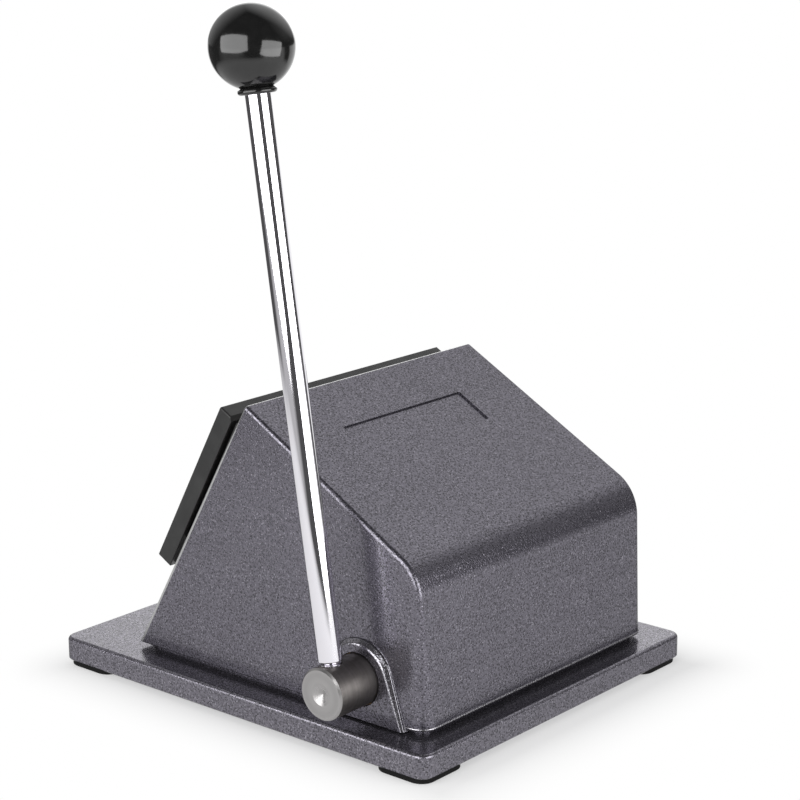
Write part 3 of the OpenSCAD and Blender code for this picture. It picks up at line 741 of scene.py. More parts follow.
def arc(r: float, from_deg: float, to_deg: float, middle: Span, steps: int = ARC_STEPS) -> list[Span]:
    """Returns points on an arc about a middle, from one angle to another."""
    turns = [math.radians(from_deg + (to_deg - from_deg) * i / steps) for i in range(steps + 1)]
    return [(middle[0] + r * math.cos(a), middle[1] + r * math.sin(a)) for a in turns]


def drill(r: float, low: float, high: float, flare: float = 0.0) -> Form:
    """Makes a round tool about Z.

    Args:
        r: Its radius.
        low: Where it ends.
        high: Where it meets the surface.
        flare: How far it opens there, if it does.

    Returns:
        The tool.
    """
    if not flare:
        return Form.lathe([(0, low), (r, low), (r, high), (0, high)])
    wide, top = r + 2 * flare, high + OVERCUT
    return Form.lathe([(0, low), (r, low), (r, high - flare), (wide, high + flare), (wide, top), (0, top)])


@dataclass(frozen=True)
class Role:
    """What a piece is: its name, its body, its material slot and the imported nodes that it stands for."""

    name: str
    body: str
    slot: str
    nodes: tuple[str, ...] = ()

    def show(self, mesh: bpy.types.Mesh) -> bpy.types.Object:
        """Makes the piece, hangs it on its body and hides the imported nodes that it stands for.

        Args:
            mesh: The piece's mesh in metres, which has its materials.

        Returns:
            The piece.
        """
        mesh.shade_smooth()
        mesh.set_sharp_from_angle(angle=SHARP_ANGLE)
        piece = shown(self.name, mesh)
        piece.modifiers.new("even", "WEIGHTED_NORMAL").keep_sharp = True
        piece.data = settled(piece)
        piece.modifiers.clear()
        piece.data.name = self.name
        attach(piece, self.body)
        if self.nodes:
            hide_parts(*self.nodes)
        LOG.info("piece %s on %s, %d faces", self.name, self.body, len(piece.data.polygons))
        return piece

    def dress(self, form: Form, *looks: Look, choose: Choice | None = None) -> bpy.types.Object:
        """Makes the piece of a solid.

        Args:
            form: The solid, in place.
            looks: Its finishes.
            choose: Gives the finish of a face from its middle and its normal, where there are several.

        Returns:
            The piece.
        """
        mesh = form.mesh
        mesh.materials.clear()
        for look in looks:
            mesh.materials.append(PAINTBOX.material(look))
        for face in mesh.polygons:
            face.material_index = looks.index(choose(face.center, face.normal)) if choose else 0
        mesh.transform(Matrix.Scale(MM, 4))
        return self.show(mesh)


class Repeater:
    """A Geometry Nodes tree with named inputs that makes one piece."""

    def __init__(self, name: str) -> None:
        """Starts an empty tree."""
        self.tree = bpy.data.node_groups.new(name, "GeometryNodeTree")
        self.book = NodeBook(self.tree)
        self._start = self.book.add("NodeGroupInput")
        for way in ("INPUT", "OUTPUT"):
            self.tree.interface.new_socket("Geometry", in_out=way, socket_type="NodeSocketGeometry")

    def entry(self, name: str, kind: str = "Float") -> Term:
        """Adds a named input and returns it."""
        self.tree.interface.new_socket(name, in_out="INPUT", socket_type=f"NodeSocket{kind}")
        return Term(self.book, self._start.socket.node.outputs[name])

    def points(self) -> Term:
        """Returns the geometry that the tree works on."""
        return Term(self.book, self._start.socket.node.outputs[0])

    def close(self, geometry: Term) -> None:
        """Ends the tree: instances become a mesh, and the mesh gets its material.

        Args:
            geometry: What the tree has made.
        """
        real = self.book.add("GeometryNodeRealizeInstances", {"Geometry": geometry})
        sockets = {"Geometry": real, "Material": self.entry("Material", "Material")}
        self.book.add("NodeGroupOutput", {0: self.book.add("GeometryNodeSetMaterial", sockets)})

    def make(self, points: Sequence[Vector], values: Mapping[str, Value]) -> bpy.types.Mesh:
        """Runs the tree.

        Args:
            points: Points that it works on, in metres.
            values: Its named inputs.

        Returns:
            A plain mesh in metres.
        """
        seed = bpy.data.meshes.new(self.tree.name)
        seed.from_pydata([tuple(point) for point in points], [], [])
        holder = shown(self.tree.name, seed)
        run = holder.modifiers.new("run", "NODES")
        run.node_group = self.tree
        for item in self.tree.interface.items_tree:
            if item.in_out == "INPUT" and item.name in values:
                run[item.identifier] = values[item.name]
        mesh = settled(holder)
        bpy.data.objects.remove(holder)
        return mesh


@dataclass(frozen=True)
class Coil:
    """The sizes of a wound wire."""

    radius: float
    turns: float
    height: float
    wire_r: float
    sides: int
    steps: int = 48


class CoilTree(Repeater):
    """Winds a wire round Z: a spring, or with a wire of four sides the ridge of a thread."""

    def __init__(self) -> None:
        """Writes the tree."""
        super().__init__("coil")
        radius = self.entry("Radius")
        spiral = {"Resolution": self.entry("Steps", "Int"), "Rotations": self.entry("Turns")}
        spiral |= {"Start Radius": radius, "End Radius": radius, "Height": self.entry("Height")}
        ring = {"Resolution": self.entry("Sides", "Int"), "Radius": self.entry("Wire Radius")}
        line = self.book.add("GeometryNodeCurveSpiral", spiral)
        wire = self.book.add("GeometryNodeCurvePrimitiveCircle", ring, "Curve")
        tube = {"Curve": line, "Profile Curve": wire, "Fill Caps": True}
        self.close(self.book.add("GeometryNodeCurveToMesh", tube))

    def wind(self, coil: Coil, look: Look, place: Matrix) -> bpy.types.Mesh:
        """Winds one coil.

        Args:
            coil: Its sizes.
            look: Its finish.
            place: The frame of its low end.

        Returns:
            A plain mesh in metres.
        """
        values = {"Turns": coil.turns, "Steps": coil.steps, "Sides": coil.sides}
        values |= {"Radius": coil.radius * MM, "Height": coil.height * MM, "Wire Radius": coil.wire_r * MM}
        mesh = self.make([], values | {"Material": PAINTBOX.material(look)})
        mesh.transform(Matrix.Scale(MM, 4) @ place @ Matrix.Scale(1 / MM, 4))
        return mesh


class ScrewTree(Repeater):
    """Sets a socket screw at each point, its head along a direction."""

    head_sides = 48
    key_sides = 6

    def __init__(self) -> None:
        """Writes the tree."""
        super().__init__("socket_screws")
        add, half = self.book.add, 0.5
        head_r, head_h, shank_r, reach, bevel, key_r = (
            self.entry(name)
            for name in ("Head Radius", "Head Height", "Shank Radius", "Reach", "Bevel", "Key Radius")
        )
        side = self._round(head_r, head_h - bevel, (head_h - bevel) * half)
        cone = {"Vertices": self.head_sides, "Depth": bevel}
        cone |= {"Radius Top": head_r - bevel, "Radius Bottom": head_r}
        crown = self._lifted(add("GeometryNodeMeshCone", cone, "Mesh"), head_h - bevel)
        key = self._round(key_r, head_h, head_h, self.key_sides)
        shank = self._round(shank_r, reach + bevel, (bevel - reach) * half)
        whole = add("GeometryNodeMeshBoolean", {"Mesh 2": [side, crown, shank]}, operation="UNION")
        screw = add("GeometryNodeMeshBoolean", {"Mesh 1": whole, "Mesh 2": [key]}, operation="DIFFERENCE")
        upward = {"Vector": self.entry("Direction", "Vector")}
        way = add("FunctionNodeAlignRotationToVector", upward, axis="Z")
        spots = {"Points": self.points(), "Instance": screw, "Rotation": way}
        self.close(add("GeometryNodeInstanceOnPoints", spots))

    def _lifted(self, mesh: Term, height: Term) -> Term:
        """Returns a mesh moved up by a height."""
        up = self.book.add("ShaderNodeCombineXYZ", {"Z": height})
        return self.book.add("GeometryNodeTransform", {"Geometry": mesh, "Translation": up})

    def _round(self, radius: Term, depth: Term, middle: Term, sides: int = head_sides) -> Term:
        """Returns a round bar about Z with its middle at a height."""
        sockets = {"Vertices": sides, "Radius": radius, "Depth": depth}
        return self._lifted(self.book.add("GeometryNodeMeshCylinder", sockets, "Mesh"), middle)


@dataclass(frozen=True)
class ScrewSet:
    """A set of equal socket screws in one frame, whose heads all point one way along Z."""

    role: Role
    look: Look
    cap: Cap
    spots: Spots
    seat: float
    reach: float
    frame: Matrix
    way: int = -1
    key_share: float = 0.58

    def build(self, tree: ScrewTree) -> None:
        """Makes the set's piece.

        Args:
            tree: What sets the screws.
        """
        points = [self.frame @ Vector((x, y, self.seat)) * MM for x, y in self.spots]
        sizes = {
            "Head Radius": self.cap.head_d / 2,
            "Head Height": self.cap.head_h,
            "Shank Radius": self.cap.shank_d / 2,
            "Reach": self.reach,
            "Bevel": self.cap.bevel,
            "Key Radius": self.cap.shank_d * self.key_share,
        }
        values: dict[str, Value] = {name: size * MM for name, size in sizes.items()}
        values["Direction"] = tuple(self.frame.to_3x3() @ Vector((0, 0, self.way)))
        values["Material"] = PAINTBOX.material(self.look)
        self.role.show(tree.make(points, values))


@dataclass(frozen=True)
class BasePlate:
    """The cast base plate with its raised seat, and the rubber feet."""

    width: float = 215.0
    depth: float = 251.0
    corner: float = 7.5
    edge: float = 2.0
    low_edge: float = 0.8
    seat_inset: float = 4.0
    seat_band: float = 12.0
    seat_corner: float = 5.0
    hollow_corner: float = 1.0
    foot_w: float = 32.0
    foot_corner: float = 7.5
    foot_edge: float = 0.6
    foot_waist: float = 0.2

    def build(self) -> None:
        """Makes the base plate and the feet."""
        self._plate()
        for x, side in ((-1, "left"), (1, "right")):
            for y, end in ((-1, "front"), (1, "rear")):
                self._foot(shift(x * LAYOUT.foot_spot[0], y * LAYOUT.foot_spot[1]), f"{end}_{side}")

    def _plate(self) -> None:
        """Makes the plate with its seat and its holes."""
        low, high, top = LAYOUT.foot_h, LAYOUT.base_top, LAYOUT.housing_z
        rounding = arc(self.edge, 180, 90, (self.edge, high - self.edge))
        levels = [(self.low_edge, low), (0, low + self.low_edge), *rounding]
        body = Form.slab(self.width, self.depth, self.corner, levels)
        wide = LAYOUT.housing_w - 2 * self.seat_inset
        deep = LAYOUT.housing_front + LAYOUT.housing_rear - 2 * self.seat_inset
        seat = Form.slab(wide, deep, self.seat_corner, [(0, high - OVERCUT), (0, top)])
        inner = (wide - 2 * self.seat_band, deep - 2 * self.seat_band)
        hollow = Form.slab(*inner, self.hollow_corner, [(0, high), (0, top + OVERCUT)])
        holes = []
        for x, y in LAYOUT.bolts():
            holes.append(drill(BOLT.free_hole, low - OVERCUT, top + OVERCUT).placed(shift(x, y)))
            holes.append(drill(BOLT.head_hole, low - OVERCUT, low + BOLT.head_h).placed(shift(x, y)))
        middle = shift(y=(LAYOUT.housing_rear - LAYOUT.housing_front) / 2)
        plate = body.joined(seat.cut(hollow).placed(middle)).cut(*holes)
        # The plate takes the lighter copy of the hammer paint, which is painted light.
        Role("base_casting", "frame", "hammer_finish", ("base_plate",)).dress(plate, Look.BASE)

    def _foot(self, spot: Matrix, place: str) -> None:
        """Makes one foot.

        Args:
            spot: The frame of the foot's middle on the desk.
            place: The foot's corner.
        """
        top = LAYOUT.foot_h
        levels = [*arc(self.foot_edge, 270, 180, (self.foot_edge, self.foot_edge)), (self.foot_waist, top)]
        block = Form.slab(self.foot_w, self.foot_w, self.foot_corner, levels)
        screw = drill(FOOT_SCREW.thread_hole, -OVERCUT, top + OVERCUT)
        head = drill(FOOT_SCREW.head_hole, -OVERCUT, LAYOUT.foot_seat)
        foot = block.cut(screw, head).placed(spot)
        Role(f"rubber_foot_{place}", "frame", "rubber", (f"foot_{place}",)).dress(foot, Look.RUBBER)


@dataclass(frozen=True)
class Skin:
    """How far a form of the housing lies inside its outer skin, and its roundings."""

    inset: float
    front: float
    foot: float
    ridge_r: float
    bend_r: float
    side_r: float
    rear_r: float
    front_r: float
    drop: float


@dataclass(frozen=True)
class Housing:
    """The cast housing: sloping face, roof with its recess, rear, sides and the shaft's boss."""

    face_len: float = 160.5
    rear_draft: float = 3.6
    bevel: float = 1.0
    outside: Skin = Skin(
        inset=0.0, front=-1.0, foot=-6.0, ridge_r=2.0, bend_r=24.0, side_r=2.5, rear_r=9.0, front_r=5.0,
        drop=0.0,
    )
    inside: Skin = Skin(
        inset=6.0, front=8.0, foot=8.0, ridge_r=3.0, bend_r=18.0, side_r=3.0, rear_r=3.0, front_r=3.0,
        drop=2.0,
    )
    block: float = 642.0
    ball_steps: int = 64
    bend_steps: int = 128
    recess_w: float = 91.5
    recess_len: float = 23.0
    recess_drop: float = 30.4
    recess_depth: float = 1.0
    recess_corner: float = 0.8
    recess_edge: float = 0.1
    boss_r: float = 20.0
    boss_flare: float = 19.0
    boss_drop: float = 1.2
    boss_bevel: float = 2.2
    boss_slope: float = 45.0
    boss_edges: Span = (0.8, 2.0)
    boss_fillet: Span = (1.0, 0.55)
    fillet_turns: Span = (-80.0, -25.0)
    boss_taper: float = 0.5
    boss_top: float = 0.985
    boss_steps: int = 48
    bare_edge: float = 0.6
    bare_strip: Span = (0.03, 0.6)
    lip_out: float = 0.4
    lip_r: float = 0.8
    boss_depth: float = 22.0
    bush_r: float = 16.02
    bush_land: float = 5.0
    bush_cover: float = 3.0
    far_bush_r: float = 13.02
    far_depth: float = 18.0
    shaft_gap: float = 0.3
    bolt_boss_r: float = 9.0
    bolt_boss_h: float = 26.0
    bolt_bite: float = 19.0
    face_bore: float = 36.04
    post_r: float = 5.05
    post_bite: float = 7.0

    def build(self) -> None:
        """Makes the housing."""
        outside = self._form(self.outside)
        inside = self._form(self.inside).cut(self._ahead(-LAYOUT.front_wall))
        shell = outside.joined(self._boss(), self._lip()).cut(inside)
        cast = shell.joined(*(boss.kept(outside) for boss in self._inner_bosses()))
        done = cast.cut(self._ahead(0.0), self._recess(), self._strip(-1), self._strip(1), *self._holes())
        role = Role("housing_casting", "frame", "hammer_finish", ("housing",))
        role.dress(done, Look.HAMMER, Look.GROUND, Look.PAINTED_RIM_HIGHLIGHT, Look.PAINTED_LIP_HIGHLIGHT, choose=self._wear_and_painted_light)

    def _place(self, s: float, t: float) -> Span:
        """Returns Y and Z of a point s up the sloping face and t out of it."""
        point = LAYOUT.on_face() @ Vector((0, s, t))
        return point.y, point.z

    def _form(self, skin: Skin) -> Form:
        """Makes the housing's outer form or the hollow inside it.

        Args:
            skin: Which of the two.

        Returns:
            The form.
        """
        tilt, draft = math.radians(LAYOUT.face_tilt), math.radians(self.rear_draft)
        top_y, top_z = self._place(self.face_len - skin.inset - skin.ridge_r, -skin.front - skin.ridge_r)
        rear_y = LAYOUT.housing_rear - skin.inset / math.cos(draft)
        bend_s = self.face_len - skin.inset - skin.bend_r
        lean = (bend_s * math.sin(tilt) - LAYOUT.housing_front - rear_y) * math.cos(draft)
        rise = bend_s * math.cos(tilt) * math.sin(draft)
        bend_y, bend_z = self._place(bend_s, (skin.bend_r + lean + rise) / math.cos(tilt + draft))
        front_y = skin.foot / math.cos(tilt) - LAYOUT.housing_front
        front_y += (self.bevel - skin.drop) * math.tan(tilt)
        low_x, low_z = LAYOUT.housing_w / 2 - skin.inset, LAYOUT.housing_z - skin.drop
        ball = self._ring(0, 1, self.ball_steps)
        bend = self._ring(skin.bend_r - skin.side_r, skin.side_r, self.bend_steps)
        points: list[Vector] = []
        for side in (-1, 1):
            top_x = side * (LAYOUT.half_width(top_z) - skin.inset - skin.ridge_r)
            points += [Vector((top_x, top_y, top_z)) + skin.ridge_r * Vector((y, z, x)) for x, y, z in ball]
            bend_x = side * (LAYOUT.half_width(bend_z) - skin.inset - skin.side_r)
            points += [Vector((bend_x, bend_y, bend_z)) + Vector(spot) for spot in bend]
            for r, y in ((skin.front_r, front_y + skin.front_r), (skin.rear_r, rear_y - skin.rear_r)):
                points += self._corner(Vector((side * (low_x - r), y, low_z)), r)
        return Form.hull(points)

    def _ring(self, ring_r: float, r: float, steps: int) -> list[Triple]:
        """Rounds a ring about X, or a ball where the ring has no radius.

        Args:
            ring_r: The ring's radius to the middle of its section.
            r: The section's radius.
            steps: Steps round the ring.

        Returns:
            Points on it.
        """
        turns = [math.tau * i / steps for i in range(steps)]
        rounds = [math.pi * (i / self.ball_steps - 0.5) for i in range(self.ball_steps + 1)]
        spots = [(a, r * math.sin(b), ring_r + r * math.cos(b)) for a in turns for b in rounds]
        return [(along, out * math.cos(a), out * math.sin(a)) for a, along, out in spots]

    def _corner(self, middle: Vector, r: float) -> list[Vector]:
        """Rounds an upright corner whose low end is rounded off.

        Args:
            middle: The corner's middle at its low end.
            r: Its radius.

        Returns:
            Points on it.
        """
        levels = arc(self.bevel, 270, 360, (r - self.bevel, self.bevel))
        turns = [math.tau * i / self.ball_steps for i in range(self.ball_steps)]
        return [middle + Vector((x * math.cos(a), x * math.sin(a), z)) for x, z in levels for a in turns]

    def _ahead(self, t: float) -> Form:
        """Returns all that lies in front of a plane t out of the sloping face."""
        levels = [(0, t), (0, t + self.face_len)]
        return Form.slab(self.block, self.block, OVERCUT, levels).placed(LAYOUT.on_face())

    def _strip(self, side: int) -> Form:
        """Makes the tool for the bare strip along one side of the milled face.

        Args:
            side: 1 for the lever's side and -1 for the other.

        Returns:
            The tool.
        """
        deep, wide = self.bare_strip
        points = []
        for s in (0.0, self.face_len):
            x = LAYOUT.half_width(self._place(s, 0)[1])
            for out, t in ((-2 * deep, wide), (deep, -2 * wide), (OVERCUT, wide)):
                points.append(LAYOUT.on_face() @ Vector((side * (x + out), s, t)))
        return Form.hull(points)

    def _recess(self) -> Form:
        """Makes the tool for the bare recess on the roof.

        Returns:
            The tool.
        """
        edge = self.recess_edge
        levels = [(edge, -self.recess_depth), (edge, -edge), (-edge, edge), (-edge, OVERCUT)]
        tool = Form.slab(self.recess_w, self.recess_len, self.recess_corner, levels)
        middle = shift(0, self.face_len, -self.recess_drop - self.recess_len / 2)
        return tool.placed(LAYOUT.on_face() @ middle @ turn(-90, "X"))

    def _boss(self) -> Form:
        """Makes the shaft's boss, an arch whose sides spread down to the housing's low edge.

        Returns:
            The boss.
        """
        low, high = self.boss_edges
        half = math.tan(math.radians(self.boss_slope / 2))
        profile = arc(low, 0, self.boss_slope, (-low, -self.boss_bevel - low * half))
        profile += arc(high, self.boss_slope, 90, (-self.boss_bevel - high * half, -high))
        wide, tall = self.boss_fillet
        foot = [(wide * (1 - x), tall * z) for x, z in arc(1, *self.fillet_turns, (0, 1))]
        rings = [self._arch(out, lift) for out, lift in [(wide, -LAYOUT.wall / 2), *foot]]
        return Form.loft(rings + [self._arch(out, drop, LAYOUT.boss_face_x) for out, drop in profile])

    def _wear_and_painted_light(self, middle: Vector, normal: Vector) -> Look:
        """Chooses a face's finish.

        Args:
            middle: The face's middle.
            normal: Its normal.

        Returns:
            The finish of the milled face, the painted highlight of the rear lip, the painted highlight of the
            boss's rims, or the hammer paint of the rest.
        """
        if (LAYOUT.on_face().inverted() @ middle).z > -self.bare_edge:
            return Look.GROUND
        rear_y = LAYOUT.housing_rear - self.outside.rear_r
        # The rear lip's bead gets a painted highlight: a much lighter hammer paint.
        if middle.z < LAYOUT.housing_z + 2 * self.lip_r and middle.y > rear_y:
            return Look.PAINTED_LIP_HIGHLIGHT
        out = math.hypot(middle.y - LAYOUT.shaft_y, middle.z - LAYOUT.shaft_z)
        proud = middle.x > LAYOUT.half_width(middle.z) + WELD
        # The boss's rims get a painted highlight: a lighter, glossier hammer paint.
        lit_rim = LAYOUT.shaft_r + self.boss_bevel < out < 2 * self.boss_r and normal.x < self.boss_top
        return Look.PAINTED_RIM_HIGHLIGHT if proud and lit_rim else Look.HAMMER

    def _lip(self) -> Form:
        """Makes the bead of paint along the housing's rear bottom edge and round its corners.

        Returns:
            The bead.
        """
        corner = self.outside.rear_r + self.lip_out
        depth = 2 * corner + OVERCUT
        levels = arc(self.lip_r, 270, 90, (self.lip_r, LAYOUT.housing_z + self.bevel))
        bead = Form.slab(LAYOUT.housing_w + 2 * self.lip_out, depth, corner, levels)
        return bead.placed(shift(y=LAYOUT.housing_rear + self.lip_out - depth / 2))

    def _arch(self, out: float, lift: float, face_x: float | None = None) -> list[Vector]:
        """Makes one ring of the boss.

        Args:
            out: Distance outside the boss's nominal outline.
            lift: Height above the housing's side, or above face_x.
            face_x: The boss's face, where the ring is measured from it.

        Returns:
            The ring's points.
        """
        flare = math.radians(self.boss_flare)
        low = LAYOUT.housing_z - LAYOUT.shaft_z - self.boss_drop
        spread, side = self.boss_r / math.cos(flare) - low * math.tan(flare), 1 / math.cos(flare)
        turns = arc(1, self.boss_flare, 180 - self.boss_flare, (0, 0), self.boss_steps)
        spots = [(self.boss_r * y, self.boss_r * z, y, z) for y, z in turns]
        ring = []
        for y, z, out_y, out_z in [(spread, low, side, 0.0), *spots, (-spread, low, -side, 0.0)]:
            share = 1 - (1 - self.boss_taper) * max(0.0, z / low)
            start = LAYOUT.half_width(z + LAYOUT.shaft_z) if face_x is None else face_x
            spot = Vector((start + lift * share, y + out_y * out * share, z + out_z * out * share))
            ring.append(spot + Vector(SHAFT_POINT))
        return ring

    def _inner_bosses(self) -> list[Form]:
        """Makes the bosses inside the housing for the bushes and the bolts.

        Returns:
            The bosses.
        """
        side_x, low = LAYOUT.half_width(LAYOUT.shaft_z), LAYOUT.housing_z
        near = drill(self.bush_r + self.bush_land, LAYOUT.boss_face_x - self.boss_depth, side_x - OVERCUT)
        far_x = LAYOUT.wall - side_x
        far = drill(self.far_bush_r + self.bush_land, far_x - LAYOUT.wall / 2, far_x + self.far_depth)
        bosses = [boss.placed(LAYOUT.on_shaft()) for boss in (near, far)]
        for x, y in LAYOUT.bolts():
            bosses.append(drill(self.bolt_boss_r, low, low + self.bolt_boss_h).placed(shift(x, y)))
        return bosses

    def _holes(self) -> list[Form]:
        """Makes the tools for the holes in the face, for the shaft and for the bolts.

        Returns:
            The tools.
        """
        axis, shaft = LAYOUT.on_axis(), LAYOUT.on_shaft()
        back, post_end = -LAYOUT.front_wall - OVERCUT, self.post_bite - LAYOUT.front_wall
        holes = [drill(self.face_bore, back, OVERCUT).placed(axis)]
        for x, y in LAYOUT.die_screws:
            holes.append(drill(BOLT.thread_hole, back, OVERCUT).placed(axis @ shift(x, y)))
        for x in (-LAYOUT.post_x, LAYOUT.post_x):
            holes.append(drill(self.post_r, back, post_end).placed(axis @ shift(x)))
        face_x, free_r = LAYOUT.boss_face_x, LAYOUT.shaft_r + self.shaft_gap
        start, far_x = face_x - self.boss_depth - OVERCUT, LAYOUT.wall - LAYOUT.half_width(LAYOUT.shaft_z)
        holes.append(drill(self.bush_r, start, face_x - self.bush_cover).placed(shaft))
        holes.append(drill(free_r, start, face_x, self.shaft_gap).placed(shaft))
        holes.append(drill(self.far_bush_r, far_x, far_x + self.far_depth + OVERCUT).placed(shaft))
        low, high = LAYOUT.housing_z - OVERCUT, LAYOUT.housing_z + self.bolt_bite
        return holes + [drill(BOLT.thread_hole, low, high).placed(shift(x, y)) for x, y in LAYOUT.bolts()]


@dataclass(frozen=True)
class DieSet:
    """The black die plate on the sloping face, and the punch behind it."""

    width: float = 169.0
    height: float = 100.0
    below: float = 45.0
    corner: float = 1.0
    edge: float = 0.5
    land: float = 4.0
    relief: float = 1.0
    mouth: float = 0.7
    lead_in: float = 2.0
    hole_edge: float = 0.3
    dowel_spots: Spots = ((-40.0, -40.5), (40.0, -40.5))
    dowel_r: float = 2.05
    punch_face_t: float = 3.7
    punch_len: float = 34.5
    punch_band: float = 18.0
    punch_gap: float = 0.04
    punch_step: float = 1.5
    punch_rim: float = 4.0
    punch_hollow: float = 1.5
    punch_edge: float = 0.2
    hollow_rings: int = 12

    def build(self) -> None:
        """Makes the die plate and the punch."""
        self._die()
        self._punch()

    def _die(self) -> None:
        """Makes the die plate, whose bore is bright."""
        low, high = LAYOUT.die_rear, LAYOUT.die_rear + LAYOUT.die_t
        rear = arc(self.edge, 270, 180, (self.edge, low + self.edge))
        front = arc(self.edge, 180, 90, (self.edge, high - self.edge))
        plate = Form.slab(self.width, self.height, self.corner, [*rear, *front])
        plate.placed(shift(y=self.height / 2 - self.below))
        r, step, start = LAYOUT.cut_r, low + self.land, low - OVERCUT
        wide, out = r + self.relief, high + self.mouth
        profile = [(0, start), (r, start), (r, step), (wide, step), (wide, high - self.mouth)]
        bore = Form.lathe([*profile, (wide + 2 * self.mouth, out), (0, out)], 2 * TURN_STEPS)
        tools = [bore, self._lead_in()]
        for x, y in LAYOUT.die_screws:
            tools.append(drill(BOLT.free_hole, start, high).placed(shift(x, y)))
            tools.append(drill(BOLT.head_hole, high - BOLT.head_h, high, self.hole_edge).placed(shift(x, y)))
        for x, y in self.dowel_spots:
            tools.append(drill(self.dowel_r, start, high, self.hole_edge).placed(shift(x, y)))
        done = plate.cut(*tools).placed(LAYOUT.on_axis())
        inward = LAYOUT.on_axis().inverted()

        def choose(middle: Vector, normal: Vector) -> Look:
            """Chooses the finish of the bore or of the rest.

            Args:
                middle: The face's middle.
                normal: Its normal, which is not used.

            Returns:
                The finish.
            """
            place = inward @ middle
            inside = math.hypot(place.x, place.y) < wide + self.mouth / 2 and low < place.z < high
            return Look.PUNCH if inside else Look.BLACK

        role = Role("die_block", "frame", "black_plate", ("die_plate",))
        role.dress(done, Look.BLACK, Look.PUNCH, choose=choose)

    def _lead_in(self) -> Form:
        """Makes the tool for the bevel that leads the paper in.

        Returns:
            The tool, a square bar on its edge.
        """
        side = self.lead_in * math.sqrt(2)
        bar = Form.slab(self.width + 2 * OVERCUT, side, LEAST_R, [(0, -side / 2), (0, side / 2)])
        return bar.placed(shift(0, self.height - self.below, LAYOUT.die_rear) @ turn(45, "X"))

    def _punch(self) -> None:
        """Makes the punch with its hollow face."""
        face, rear = self.punch_face_t, self.punch_face_t - self.punch_len
        band, r = face - self.punch_band, LAYOUT.cut_r - self.punch_gap
        hollow_r, body_r = r - self.punch_rim, r - self.punch_step
        shares = [1 - i / self.hollow_rings for i in range(self.hollow_rings + 1)]
        hollow = [(hollow_r * share, face - self.punch_hollow * (1 - share)) for share in shares]
        profile = [(0, rear), (body_r, rear), (body_r, band), (r, band)]
        profile += [(r, face - self.punch_edge), (r - self.punch_edge, face), *hollow]
        punch = Form.lathe(profile, 2 * TURN_STEPS).placed(LAYOUT.on_axis())
        Role("punch_head", "ram", "ground_steel", ("punch",)).dress(punch, Look.PUNCH)


